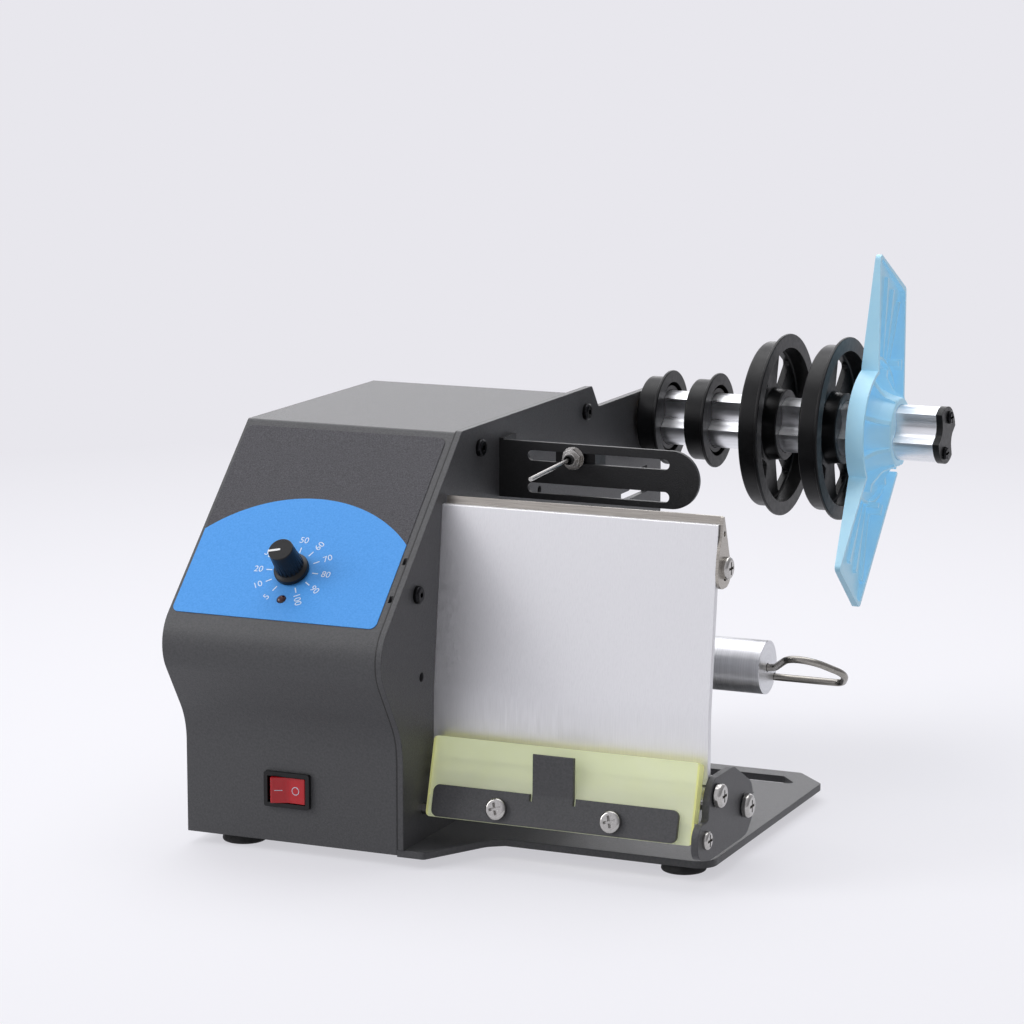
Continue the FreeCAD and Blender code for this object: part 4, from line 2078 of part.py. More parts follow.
panel_screw = screw_pattern("PanelScrewPattern", d("screw_three"), panel_screw_length,
                            d("button_radius") * small_head_share, d("button_height") * small_height_share,
                            socket=d("button_socket") * small_height_share)
doc.recompute()
copies("panel_screws", panel_screw, [(x, d("bar_back_y"), z, TO_BACK) for x, z in panel_screws])
copies("ear_screw", pan_short, [(ear_right, d("ear_screw_y"), d("ear_screw_z"), TO_RIGHT)])
clamp_places = []
for x, s in clamp_screws:
    front = clamp_front
    clamp_places.append((x, d("flap_foot_y") + front * lean_cos + s * lean_sin,
                         d("flap_foot_z") - front * lean_sin + s * lean_cos,
                         facing((0, -lean_cos.value, lean_sin.value))))
copies("clamp_screws", clamp_pan, clamp_places)
small_group = [(d("bracket_sheet"), y, z, TO_RIGHT) for y, z in bracket_places]
small_group = small_group + [(ZERO, y, z, TO_RIGHT) for y, z in standoff_places]
small_group = small_group + [(x, y, board_top, TO_TOP) for x, y in board_places]
small_group = small_group + [(d("cover_left"), y, z, TO_LEFT) for y, z in lip_screws]
copies("small_button_screws", button_three, small_group)
copies("motor_standoffs", post, [(sheet_left, y, z, TO_RIGHT) for y, z in standoff_places])
copies("board_standoffs", board_post, [(x, y, ZERO, TO_TOP) for x, y in board_places])
copies("end_cap_screws", cap_screw, [(cap_right, d("reel_y") + y, d("reel_z") + z, TO_RIGHT)
                                     for y, z in cap_places])
feet_group = []
for x, y in foot_places:
    feet_group.append((x, y, ZERO, FreeCAD.Rotation()))
copies("rubber_feet", foot, feet_group)
foot_seat = d("foot_recess") - d("foot_height")
copies("foot_screws", foot_screw, [(x, y, foot_seat, TO_FLOOR) for x, y in foot_places])

# The frame of the whole part: the middle of the footprint box, at the feet's underside

doc.recompute()
whole = FreeCAD.BoundBox()
for item in nodes:
    whole.add(item.Shape.optimalBoundingBox(False, False))
shift = {
    "frame_shift_x": -(whole.XMin + whole.XMax) / 2,
    "frame_shift_y": -(whole.YMin + whole.YMax) / 2,
    "frame_shift_z": -whole.ZMin,
}
for alias in shift:
    cell = "B%d" % (list(SIZES).index(alias) + 1)
    sheet.set(cell, repr(round(shift[alias], 4)))
doc.recompute()

problems = []
for item in doc.Objects:
    if "Invalid" in item.State or "Error" in item.State:
        problems.append("%s %s" % (item.Name, item.State))
for item in nodes:
    shape = item.Shape
    if shape.isNull() or not shape.isValid() or shape.Volume <= 0:
        problems.append("%s has no valid shape" % item.Label)
if problems:
    raise RuntimeError("; ".join(problems))

os.makedirs("parts", exist_ok=True)
for item in nodes:
    item.Shape.exportStep(os.path.join("parts", item.Label + ".step"))
    box_size = item.Shape.BoundBox
    print("%-24s solids %d  faces %4d  x %.1f %.1f  y %.1f %.1f  z %.1f %.1f" % (
        item.Label, len(item.Shape.Solids), len(item.Shape.Faces), box_size.XMin, box_size.XMax,
        box_size.YMin, box_size.YMax, box_size.ZMin, box_size.ZMax))
print("nodes", len(nodes), "shift", shift)
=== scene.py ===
import math

import bpy
from mathutils import Euler, Matrix, Vector


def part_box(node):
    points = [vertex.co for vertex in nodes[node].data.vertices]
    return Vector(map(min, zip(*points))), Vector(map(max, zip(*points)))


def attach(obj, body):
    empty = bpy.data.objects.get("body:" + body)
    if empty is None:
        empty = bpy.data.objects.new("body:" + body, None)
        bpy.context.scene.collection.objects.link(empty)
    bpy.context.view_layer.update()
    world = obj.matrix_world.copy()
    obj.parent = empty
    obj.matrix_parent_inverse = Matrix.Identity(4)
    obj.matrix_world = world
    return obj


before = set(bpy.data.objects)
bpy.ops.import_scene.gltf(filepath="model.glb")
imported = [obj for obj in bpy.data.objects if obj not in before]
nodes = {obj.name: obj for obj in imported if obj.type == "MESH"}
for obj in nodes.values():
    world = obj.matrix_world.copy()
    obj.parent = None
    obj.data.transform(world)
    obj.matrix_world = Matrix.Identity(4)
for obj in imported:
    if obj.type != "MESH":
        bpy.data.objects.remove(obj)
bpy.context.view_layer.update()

# Looks for a desk label dispenser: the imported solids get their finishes, and the printed marks of the dial
# and of the rocker are modelled here.

MM = 0.001

# Where the machine's own zero point lies in the frame: the frame plate's right face, the base plate's
# front edge and underside
plate_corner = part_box("side_frame_plate")[1]
base_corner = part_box("base_plate")[0]
ZERO_POINT = Vector((plate_corner.x, base_corner.y, base_corner.z))


def on_machine(right, back, up):
    """A point of the machine in its own millimetres."""
    return ZERO_POINT + Vector((right, back, up)) * MM


def middle(name):
    low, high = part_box(name)
    return (low + high) / 2


# Camera: the photograph's viewpoint, a long lens from the right and a little above
CAMERA_PLACE = on_machine(613.1, -1291.8, 404.3)
CAMERA_YAW = math.radians(23.61)
CAMERA_PITCH = math.radians(10.31)
FOCAL_PIXELS = 3599.5
PICTURE_PIXELS = 1024
SENSOR_MM = 36.0
NEAREST_SEEN = 0.05
FARTHEST_SEEN = 60

camera_data = bpy.data.cameras.new("photo_camera")
camera_data.sensor_width = SENSOR_MM
camera_data.lens = FOCAL_PIXELS / PICTURE_PIXELS * SENSOR_MM
camera_data.clip_start = NEAREST_SEEN
camera_data.clip_end = FARTHEST_SEEN
camera = bpy.data.objects.new("photo_camera", camera_data)
bpy.context.scene.collection.objects.link(camera)
camera.location = CAMERA_PLACE
camera.rotation_euler = Euler((math.radians(90) - CAMERA_PITCH, 0, CAMERA_YAW))
bpy.context.scene.camera = camera


# Making materials

# How a grain is stretched: long along one axis, or the same all ways
ALONG_X = (0.03, 1, 1)
ALONG_Z = (1, 1, 0.03)
EVENLY = (1, 1, 1)

# The part of a noise's range that carries nearly all of its pattern
NOISE_LOW = 0.3
NOISE_HIGH = 0.7

# The shares of a finish's roughness between which it wanders, and on metal how many grains long it does so
METAL_SHARES = (0.8, 1.25)
METAL_SHEEN_GRAINS = 1.7
LATHE_SHARES = (0.85, 1.2)
LATHE_SHEEN_GRAINS = 2
PLASTIC_SHARES = (0.9, 1.15)

# Grain of the powder coat: the real one is about 0.2 mm and is drawn at 0.45 mm, the finest that shows
COAT_TINT_MM = 0.9
COAT_GRAIN_MM = 0.45
COAT_DEPTH_MM = 0.06

# How finely a softened edge is worked out
EDGE_SAMPLES = 4

# Refraction of the coats, films and common plastics
POLYMER_IOR = 1.5

# Broad, faint unevenness of moulded plastic
PLASTIC_TINT_MM = 6.0
PLASTIC_SHEEN_MM = 2.5


def hex_colour(code):
    """An sRGB hex colour as the linear values that a shader takes."""
    shares = [int(code[start:start + 2], 16) / 255 for start in (0, 2, 4)]
    linear = [share / 12.92 if share <= 0.04045 else ((share + 0.055) / 1.055) ** 2.4 for share in shares]
    return (*linear, 1.0)


def add_node(tree, kind, settings=None, feeds=None):
    """Adds a shader node, sets its properties, and fills or links the inputs that feeds names."""
    made = tree.nodes.new(kind)
    for name, value in (settings or {}).items():
        setattr(made, name, value)
    for name, value in (feeds or {}).items():
        if isinstance(value, bpy.types.NodeSocket):
            tree.links.new(value, made.inputs[name])
        else:
            made.inputs[name].default_value = value
    return made


def new_finish(name, surface):
    """A material with one Principled shader, given back with its tree, shader and object coordinates."""
    material = bpy.data.materials.new(name)
    material.use_nodes = True
    tree = material.node_tree
    tree.nodes.clear()
    shader = add_node(tree, "ShaderNodeBsdfPrincipled", feeds=surface)
    add_node(tree, "ShaderNodeOutputMaterial", feeds={"Surface": shader.outputs["BSDF"]})
    place = add_node(tree, "ShaderNodeTexCoord").outputs["Object"]
    return material, tree, shader, place


def mottle(tree, place, size_mm, dark, light, stretch=EVENLY, detail=2.0):
    """A noise between two hex colours or two numbers, with its grain this many millimetres long."""
    grain = add_node(tree, "ShaderNodeMapping", feeds={"Vector": place, "Scale": stretch})
    noise = add_node(tree, "ShaderNodeTexNoise", feeds={
        "Vector": grain.outputs["Vector"], "Scale": 1 / (size_mm * MM), "Detail": detail})
    if isinstance(dark, str):
        ramp = add_node(tree, "ShaderNodeValToRGB", feeds={"Fac": noise.outputs["Fac"]})
        ramp.color_ramp.elements[0].position = NOISE_LOW
        ramp.color_ramp.elements[0].color = hex_colour(dark)
        ramp.color_ramp.elements[1].position = NOISE_HIGH
        ramp.color_ramp.elements[1].color = hex_colour(light)
        return ramp.outputs["Color"]
    spread = add_node(tree, "ShaderNodeMapRange", feeds={
        "Value": noise.outputs["Fac"], "From Min": NOISE_LOW, "From Max": NOISE_HIGH,
        "To Min": dark, "To Max": light})
    return spread.outputs["Result"]


def vary_roughness(tree, shader, place, size_mm, roughness, shares, stretch=EVENLY):
    """Lets the roughness wander between two shares of its middle value."""
    low, high = shares
    rough = mottle(tree, place, size_mm, roughness * low, roughness * high, stretch)
    tree.links.new(rough, shader.inputs["Roughness"])


def relief(tree, shader, height, depth_mm, radius_mm):
    """Bumps the surface by a height map, over edges that catch the light as a rounded edge does."""
    bump = add_node(tree, "ShaderNodeBump", feeds={"Height": height, "Distance": depth_mm * MM})
    if radius_mm:
        edge = add_node(tree, "ShaderNodeBevel", {"samples": EDGE_SAMPLES}, {"Radius": radius_mm * MM})
        tree.links.new(edge.outputs["Normal"], bump.inputs["Normal"])
    tree.links.new(bump.outputs["Normal"], shader.inputs["Normal"])


def blend(tree, share, first, second):
    """The first colour where the share is 0 and the second where it is 1."""
    mixed = add_node(tree, "ShaderNodeMix", {"data_type": "RGBA"}, {"Factor": share, 6: first, 7: second})
    return mixed.outputs[2]


def powder_coat(name, dark, light, roughness, edge_mm, over_tint=None):
    """Polyester powder baked on steel: a fine orange-peel grain that scatters the light into soft grey."""
    material, tree, shader, place = new_finish(name, {"IOR": POLYMER_IOR, "Roughness": roughness})
    tint = mottle(tree, place, COAT_TINT_MM, dark, light)
    if over_tint:
        tint = over_tint(tree, place, tint)
    tree.links.new(tint, shader.inputs["Base Color"])
    relief(tree, shader, mottle(tree, place, COAT_GRAIN_MM, 0.0, 1.0), COAT_DEPTH_MM, edge_mm)
    return material


def machined_metal(name, dark, light, roughness, grain_mm, stretch, depth_mm, edge_mm):
    """Bare metal, with tool or rolling lines along the axis that stretch leaves long."""
    material, tree, shader, place = new_finish(name, {"Metallic": 1.0})
    tree.links.new(mottle(tree, place, grain_mm, dark, light, stretch), shader.inputs["Base Color"])
    vary_roughness(tree, shader, place, grain_mm * METAL_SHEEN_GRAINS, roughness, METAL_SHARES, stretch)
    relief(tree, shader, mottle(tree, place, grain_mm, 0.0, 1.0, stretch), depth_mm, edge_mm)
    return material


def lathe_turned(name, dark, light, roughness, axis_place, grain_mm, depth_mm, edge_mm):
    """Metal turned on a lathe: fine rings round an axis along X, on the barrel and on its end face."""
    material, tree, shader, place = new_finish(name, {"Metallic": 1.0})
    from_axis = add_node(tree, "ShaderNodeVectorMath", {"operation": "SUBTRACT"}, {0: place, 1: axis_place})
    across = add_node(tree, "ShaderNodeVectorMath", {"operation": "MULTIPLY"}, {
        0: from_axis.outputs["Vector"], 1: (0, 1, 1)})
    radius = add_node(tree, "ShaderNodeVectorMath", {"operation": "LENGTH"}, {0: across.outputs["Vector"]})
    parts = add_node(tree, "ShaderNodeSeparateXYZ", feeds={"Vector": from_axis.outputs["Vector"]})
    rings = add_node(tree, "ShaderNodeCombineXYZ", feeds={
        "X": parts.outputs["X"], "Y": radius.outputs["Value"]})
    ring_place = rings.outputs["Vector"]
    tree.links.new(mottle(tree, ring_place, grain_mm, dark, light), shader.inputs["Base Color"])
    vary_roughness(tree, shader, ring_place, grain_mm * LATHE_SHEEN_GRAINS, roughness, LATHE_SHARES)
    relief(tree, shader, mottle(tree, ring_place, grain_mm, 0.0, 1.0), depth_mm, edge_mm)
    return material


def moulded_plastic(name, dark, light, roughness, grain_mm, depth_mm, edge_mm, surface=None):
    """Injection-moulded plastic: the tool's faint spark-eroded grain and slightly soft edges."""
    material, tree, shader, place = new_finish(name, {"IOR": POLYMER_IOR, **(surface or {})})
    tree.links.new(mottle(tree, place, PLASTIC_TINT_MM, dark, light), shader.inputs["Base Color"])
    vary_roughness(tree, shader, place, PLASTIC_SHEEN_MM, roughness, PLASTIC_SHARES)
    relief(tree, shader, mottle(tree, place, grain_mm, 0.0, 1.0), depth_mm, edge_mm)
    return material


# Charcoal powder coat on the casing: dark grey with a soft sheen where it faces the sky
CHARCOAL = {"dark": "444446", "light": "505052", "roughness": 0.43, "edge_mm": 0.5}
# The seam beside the cover is painted shadow: a dark colour laid on the frame plate's left face and on a
# strip of its rim
SEAM_WIDTH = 0.7 * MM
SEAM_FADE = 0.2 * MM
SEAM_SHADE = "0E0E0F"


def shade_seam(tree, place, tint):
    """Paints shade on the frame plate's left face and on a strip of its rim: a painted shadow that shows as
    a seam beside the cover.
    """
    seam_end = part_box("housing_cover")[1].x + SEAM_WIDTH
    spot = add_node(tree, "ShaderNodeSeparateXYZ", feeds={"Vector": place})
    in_seam_shadow = add_node(tree, "ShaderNodeMapRange", feeds={
        "Value": spot.outputs["X"], "From Min": seam_end, "From Max": seam_end + SEAM_FADE,
        "To Min": 1.0, "To Max": 0.0})
    return blend(tree, in_seam_shadow.outputs["Result"], tint, hex_colour(SEAM_SHADE))


charcoal_powder_coat = powder_coat("charcoal_powder_coat", **CHARCOAL)
# The frame plate's coat, which carries the seam's painted shadow
frame_coat = powder_coat("charcoal_frame_coat", **CHARCOAL, over_tint=shade_seam)

# The same kind of coat in black, which shows light only where it glances
black_powder_coat = powder_coat("black_powder_coat", "121214", "1B1B1D", roughness=0.45, edge_mm=0.3)

# Rolled sheet, etched and anodised: pale and even, with hardly visible upright lines
satin_anodised_panel = machined_metal(
    "satin_anodised_panel", "E0E0E2", "E4E4E6", roughness=0.5, grain_mm=0.2, stretch=ALONG_Z,
    depth_mm=0.0003, edge_mm=0.3)

# Brushed stainless sheet: warm grey, with lines along its length
brushed_stainless = machined_metal(
    "brushed_stainless", "A09B94", "B7B2AA", roughness=0.3, grain_mm=0.4, stretch=ALONG_X,
    depth_mm=0.004, edge_mm=0.2)

# Extruded aluminium: bright, with soft reflections drawn out along the die's lines
bright_aluminium = machined_metal(
    "bright_extruded_aluminium", "E0E1E4", "EAEBEE", roughness=0.32, grain_mm=1.5, stretch=ALONG_X,
    depth_mm=0.0004, edge_mm=0.3)

# Milled aluminium: a cooler, duller grey with short tool marks
milled_aluminium = machined_metal(
    "milled_aluminium", "B9BABD", "CBCCCF", roughness=0.36, grain_mm=0.4, stretch=EVENLY,
    depth_mm=0.008, edge_mm=0.3)

# Aluminium turned on a lathe: the rings spread each highlight over the barrel
spool_aluminium = lathe_turned(
    "turned_spool_aluminium", "CDCED1", "E2E3E6", roughness=0.36, axis_place=middle("gear_motor"),
    grain_mm=0.35, depth_mm=0.012, edge_mm=0.3)

# Nickel plate: smooth, and slightly warm
nickel_plate = machined_metal(
    "nickel_plated_steel", "B0AEAB", "BEBCB9", roughness=0.2, grain_mm=0.8, stretch=EVENLY,
    depth_mm=0.0005, edge_mm=0.2)

# Drawn wire: darker than the plated parts, with a narrow highlight along it
satin_wire = machined_metal(
    "drawn_stainless_wire", "8D8A84", "A29F99", roughness=0.26, grain_mm=0.5, stretch=ALONG_X,
    depth_mm=0.006, edge_mm=0)

# Zinc plate: bluish and a little dull
zinc_plate = machined_metal(
    "zinc_plated_steel", "A8ABAE", "BCBFC2", roughness=0.35, grain_mm=0.8, stretch=EVENLY,
    depth_mm=0.008, edge_mm=0.2)

# Turned brass: yellow and plain
turned_brass = machined_metal(
    "turned_brass", "B08D48", "C7A45C", roughness=0.3, grain_mm=0.5, stretch=EVENLY,
    depth_mm=0.006, edge_mm=0.2)

# Oxide-blackened steel: black that still mirrors faintly
black_oxide = machined_metal(
    "black_oxide_steel", "1D1D1F", "2A2A2C", roughness=0.32, grain_mm=0.6, stretch=EVENLY,
    depth_mm=0.004, edge_mm=0.2)

# Nylon with glass fibre: deep black with a restrained sheen
black_nylon = moulded_plastic(
    "black_glass_filled_nylon", "0D0D0E", "131314", roughness=0.36, grain_mm=0.7, depth_mm=0.01,
    edge_mm=0.4, surface={"Specular IOR Level": 0.25})

# Black ABS: a little duller than the nylon
black_abs = moulded_plastic(
    "black_abs", "0C0C0E", "121214", roughness=0.4, grain_mm=0.5, depth_mm=0.008, edge_mm=0.3,
    surface={"Specular IOR Level": 0.35})

# Rubber: matt and faintly grey
rubber = moulded_plastic(
    "moulded_rubber", "161616", "1F1F1F", roughness=0.7, grain_mm=0.8, depth_mm=0.03, edge_mm=0.4)

# Light blue ABS, with a faint painted glow that keeps the thin walls' shaded sides bright, in place of the
# light that enters the walls and leaves them again all round
blue_abs = moulded_plastic(
    "light_blue_abs", "B4E6FF", "BAE9FF", roughness=0.32, grain_mm=3.0, depth_mm=0.002, edge_mm=0,
    surface={"Emission Color": hex_colour("AFE4FF"), "Emission Strength": 0.16})

# Red polycarbonate: smooth and strong in colour
red_polycarbonate = moulded_plastic(
    "red_polycarbonate", "C31420", "CB1823", roughness=0.22, grain_mm=2.0, depth_mm=0.004, edge_mm=0.3)

# Screen ink: flat white, cooled a little by what lies under it
white_ink = moulded_plastic(
    "white_screen_ink", "D6E6FA", "E0EDFC", roughness=0.5, grain_mm=1.0, depth_mm=0.002, edge_mm=0)

# White inlay in the knob: clean white with a slight gloss
white_inlay = moulded_plastic(
    "white_moulded_inlay", "F2F2F2", "F8F8F8", roughness=0.4, grain_mm=1.0, depth_mm=0.002, edge_mm=0)

# Motor can in grey paint: an even mid grey
motor_paint = moulded_plastic(
    "grey_motor_paint", "5A5C5F", "636568", roughness=0.4, grain_mm=1.0, depth_mm=0.02, edge_mm=0.3)

# Solder mask over a glass fibre board: green with the weave's faint squares
WEAVE_MM = 1.2
board_mask, tree, shader, place = new_finish("green_solder_mask", {"Roughness": 0.35})
weave = add_node(tree, "ShaderNodeTexChecker", feeds={
    "Vector": place, "Scale": 1 / (WEAVE_MM * MM),
    "Color1": hex_colour("14582C"), "Color2": hex_colour("196434")})
tree.links.new(weave.outputs["Color"], shader.inputs["Base Color"])

# Tinted lens of an unlit diode: nearly black red under a sharp highlight
LENS_TINT_MM = 1.5
diode_lens, tree, shader, place = new_finish("dark_red_lens", {"IOR": 1.55, "Roughness": 0.06})
tree.links.new(mottle(tree, place, LENS_TINT_MM, "2C0104", "40040A"), shader.inputs["Base Color"])

# Cast polyurethane: pale yellow green and faintly cloudy over its broad faces, which a painted glow
# brightens in place of light scattered inside the sheet, while the cut ends and the free edge are painted a
# strong yellow: the sheet's deeper tint seen through its length, with painted shine for the light that those
# edges gather
CLOUD_MM = 14.0
EDGE_TINT_AND_SHINE = "F6F290"
FACE_CLEARNESS = 0.6
EDGE_CLEARNESS = 0.3
END_GLOW = 1.2 * MM
END_GLOW_FULL = 0.6 * MM
# How squarely a face looks outwards from the sheet's rim where the edge's colour starts and is full
EDGE_FACING_START = 0.6
EDGE_FACING_FULL = 0.85


def sheet_rim(tree, place):
    """1 on the sheet's cut ends, on its free edge and in a narrow strip beside each end, and 0 elsewhere."""
    facing = add_node(tree, "ShaderNodeSeparateXYZ", feeds={
        "Vector": add_node(tree, "ShaderNodeTexCoord").outputs["Normal"]})
    end_face = add_node(tree, "ShaderNodeMath", {"operation": "ABSOLUTE"}, {0: facing.outputs["X"]})
    free_edge = add_node(tree, "ShaderNodeMath", {"operation": "MAXIMUM"}, {
        0: end_face.outputs["Value"], 1: facing.outputs["Z"]})
    by_facing = add_node(tree, "ShaderNodeMapRange", feeds={
        "Value": free_edge.outputs["Value"],
        "From Min": EDGE_FACING_START, "From Max": EDGE_FACING_FULL})
    low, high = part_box("pressure_flap")
    half_length = (high.x - low.x) / 2
    spot = add_node(tree, "ShaderNodeSeparateXYZ", feeds={"Vector": place})
    from_middle = add_node(tree, "ShaderNodeMath", {"operation": "SUBTRACT"}, {
        0: spot.outputs["X"], 1: (low.x + high.x) / 2})
    off_middle = add_node(tree, "ShaderNodeMath", {"operation": "ABSOLUTE"}, {
        0: from_middle.outputs["Value"]})
    by_place = add_node(tree, "ShaderNodeMapRange", feeds={
        "Value": off_middle.outputs["Value"], "From Min": half_length - END_GLOW,
        "From Max": half_length - END_GLOW_FULL})
    either = add_node(tree, "ShaderNodeMath", {"operation": "MAXIMUM"}, {
        0: by_facing.outputs["Result"], 1: by_place.outputs["Result"]})
    return either.outputs["Value"]


# The emission is a painted glow over the whole sheet, and the rim's yellow carries a painted shine
cast_urethane, tree, shader, place = new_finish("cast_urethane", {
    "IOR": 1.49, "Roughness": 0.4, "Emission Color": hex_colour("EEF4D4"), "Emission Strength": 0.12})
on_rim = sheet_rim(tree, place)
clouds = mottle(tree, place, CLOUD_MM, "F0F4D6", "F8FBE2")
tree.links.new(blend(tree, on_rim, clouds, hex_colour(EDGE_TINT_AND_SHINE)), shader.inputs["Base Color"])
clearness = add_node(tree, "ShaderNodeMapRange", feeds={
    "Value": on_rim, "To Min": FACE_CLEARNESS, "To Max": EDGE_CLEARNESS})
tree.links.new(clearness.outputs["Result"], shader.inputs["Transmission Weight"])


# The slope that carries the dial: its middle, its tilt and the dial's place on it

film_low, film_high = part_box("control_overlay")
film_middle = middle("control_overlay")
slope_angle = math.atan2(film_high.z - film_low.z, film_high.y - film_low.y)
film_half_length = math.hypot(film_high.z - film_low.z, film_high.y - film_low.y) / 2
on_slope = Matrix.Translation(film_middle) @ Matrix.Rotation(slope_angle, 4, "X")
dial_on_film = on_slope.inverted() @ middle("potentiometer_nut")

# Printed film: dark grey with a fine sparkle above, and a blue field whose top edge is an arch
ARCH_RADIUS = 65.8 * MM
ARCH_BELOW_FILM_EDGE = 36.0 * MM
SPARKLE_MM = 0.5
SPARKLE_DETAIL = 4.0
INK_GRAIN_MM = 0.8
FILM_GRAIN_MM = 0.5
FILM_DEPTH_MM = 0.02
FILM_EDGE_MM = 0.2
printed_film, tree, shader, place = new_finish("printed_polyester_film", {
    "IOR": POLYMER_IOR, "Roughness": 0.52, "Specular IOR Level": 0.35})
arch_middle = (0, film_half_length - ARCH_BELOW_FILM_EDGE - ARCH_RADIUS, 0)
flat_place = add_node(tree, "ShaderNodeMapping", {"vector_type": "TEXTURE"}, {
    "Vector": place, "Location": film_middle, "Rotation": (slope_angle, 0, 0)})
arch_distance = add_node(tree, "ShaderNodeVectorMath", {"operation": "DISTANCE"}, {
    0: flat_place.outputs["Vector"], 1: arch_middle})
in_arch = add_node(tree, "ShaderNodeMath", {"operation": "LESS_THAN"}, {
    0: arch_distance.outputs["Value"], 1: ARCH_RADIUS})
sparkle = mottle(tree, place, SPARKLE_MM, "333237", "56555A", detail=SPARKLE_DETAIL)
blue_ink = mottle(tree, place, INK_GRAIN_MM, "489AEA", "56A6F4")
tree.links.new(blend(tree, in_arch.outputs["Value"], sparkle, blue_ink), shader.inputs["Base Color"])
relief(tree, shader, mottle(tree, place, FILM_GRAIN_MM, 0.0, 1.0), FILM_DEPTH_MM, FILM_EDGE_MM)

FINISHES = {
    charcoal_powder_coat: ("base_plate", "end_plate", "housing_cover", "rear_cover", "arm_stiffener",
                           "clamp_bar"),
    frame_coat: ("side_frame_plate",),
    black_powder_coat: ("sensor_bracket",),
    satin_anodised_panel: ("front_panel",),
    brushed_stainless: ("peel_blade",),
    bright_aluminium: ("reel_shaft",),
    spool_aluminium: ("rewind_spool",),
    milled_aluminium: ("top_cross_bar", "spool_coupling", "motor_standoffs", "potentiometer_shaft"),
    nickel_plate: ("rod_screws", "guide_rods", "flap_pivot_pins", "flap_pivot_screws", "ear_screw",
                   "clamp_screws", "potentiometer_nut", "sensor_lever", "sensor_nut", "motor_shaft"),
    satin_wire: ("rewind_clip", "brake_springs"),
    zinc_plate: ("potentiometer", "brake_nut", "foot_screws"),
    turned_brass: ("spool_bushing", "reel_bushing", "board_standoffs"),
    black_oxide: ("frame_button_screws", "small_button_screws", "end_plate_washers", "panel_screws",
                  "end_cap_screws", "flap_hinge_bar"),
    black_nylon: ("small_hub_inner", "small_hub_outer", "large_hub_inner", "large_hub_outer",
                  "reel_end_cap", "brake_disc"),
    black_abs: ("speed_knob", "rocker_bezel", "power_inlet", "sensor_body"),
    rubber: ("rubber_feet",),
    blue_abs: ("guide_blade",),
    red_polycarbonate: ("rocker",),
    white_inlay: ("knob_pointer",),
    motor_paint: ("gear_motor",),
    board_mask: ("control_board",),
    cast_urethane: ("pressure_flap",),
    diode_lens: ("indicator_led",),
    printed_film: ("control_overlay",),
}
for finish, names in FINISHES.items():
    for name in names:
        node = nodes[name]
        node.data.materials.clear()
        node.data.materials.append(finish)

bpy.ops.object.select_all(action="DESELECT")


# Dial print: a tick and a number at each step, all white ink that stands a hair above the film

FILM_HALF_THICKNESS = 0.125 * MM
INK_PROUD = 0.05 * MM
TICK_START = 9.2 * MM
TICK_END = 11.9 * MM
TICK_WIDTH = 0.5 * MM
NUMBER_RADIUS = 15.5 * MM
NUMBER_SIZE = 4.2 * MM
STEP_ANGLE = 30.6
UPRIGHT_NUMBER = "50"
SCALE_NUMBERS = ("5", "10", "20", "30", "40", "50", "60", "70", "80", "90", "100")


def settle(piece, body, finish, place):
    """Puts a finished piece in its place in its mesh, with its material, and has it ride on a body."""
    piece.data.transform(place)
    piece.data.materials.clear()
    piece.data.materials.append(finish)
    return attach(piece, body)


def dial_number(words, angle, outward):
    """A number that reads outwards on the dial's right half, inwards on its left, and level at the top."""
    if words == UPRIGHT_NUMBER:
        turn = 0
    elif outward.x > 0:
        turn = angle
    else:
        turn = angle + math.pi
    bpy.ops.object.text_add()
    number = bpy.context.object
    number.data.body = words
    number.data.align_x = "CENTER"
    number.data.align_y = "CENTER"
    number.data.size = NUMBER_SIZE
    bpy.ops.object.convert(target="MESH")
    number.data.transform(Matrix.Rotation(turn, 4, "Z"))
    number.data.transform(Matrix.Translation(outward * NUMBER_RADIUS))
    return number


def dial_tick(angle):
    bpy.ops.mesh.primitive_plane_add(size=1)
    tick = bpy.context.object
    tick.data.transform(Matrix.Diagonal((TICK_END - TICK_START, TICK_WIDTH, 1, 1)))
    tick.data.transform(Matrix.Translation(((TICK_START + TICK_END) / 2, 0, 0)))
    tick.data.transform(Matrix.Rotation(angle, 4, "Z"))
    return tick


def join(parts, name):
    bpy.ops.object.select_all(action="DESELECT")
    for part in parts:
        part.select_set(True)
    bpy.context.view_layer.objects.active = parts[0]
    bpy.ops.object.join()
    parts[0].name = name
    bpy.ops.object.select_all(action="DESELECT")
    return parts[0]


dial_marks = []
for index, words in enumerate(SCALE_NUMBERS):
    steps = SCALE_NUMBERS.index(UPRIGHT_NUMBER) - index
    angle = math.radians(90 + STEP_ANGLE * steps)
    outward = Vector((math.cos(angle), math.sin(angle), 0))
    dial_marks += [dial_number(words, angle, outward), dial_tick(angle)]
dial_scale = join(dial_marks, "dial_scale")
dial_shift = Matrix.Translation((dial_on_film.x, dial_on_film.y, FILM_HALF_THICKNESS + INK_PROUD))
settle(dial_scale, "machine", white_ink, on_slope @ dial_shift)


# Rocker marks: a dash on the left half and a ring on the right half, printed on the two tilted faces

MARK_REACH = 3.6 * MM
MARK_RADIUS = 1.75 * MM
MARK_STROKE = 0.27 * MM
MARK_PROUD = 0.04 * MM
RING_SIDES = 48
LOOK_FROM = 20 * MM


def rocker_face(side):
    """The place of a mark on the rocker's face, turned so that Z leaves the face and X runs level."""
    start = middle("rocker") + Vector((side * MARK_REACH, -LOOK_FROM, 0))
    spot, outward = nodes["rocker"].ray_cast(start, Vector((0, 1, 0)))[1:3]
    level = Vector((0, 0, 1)).cross(outward).normalized()
    upward = outward.cross(level)
    turn = Matrix((level, upward, outward)).transposed().to_4x4()
    return Matrix.Translation(spot + outward * MARK_PROUD) @ turn


bpy.ops.mesh.primitive_plane_add(size=1)
dash = bpy.context.object
dash.name = "rocker_dash"
dash.data.transform(Matrix.Diagonal((MARK_RADIUS * 2, MARK_STROKE, 1, 1)))
settle(dash, "rocker", white_ink, rocker_face(-1))

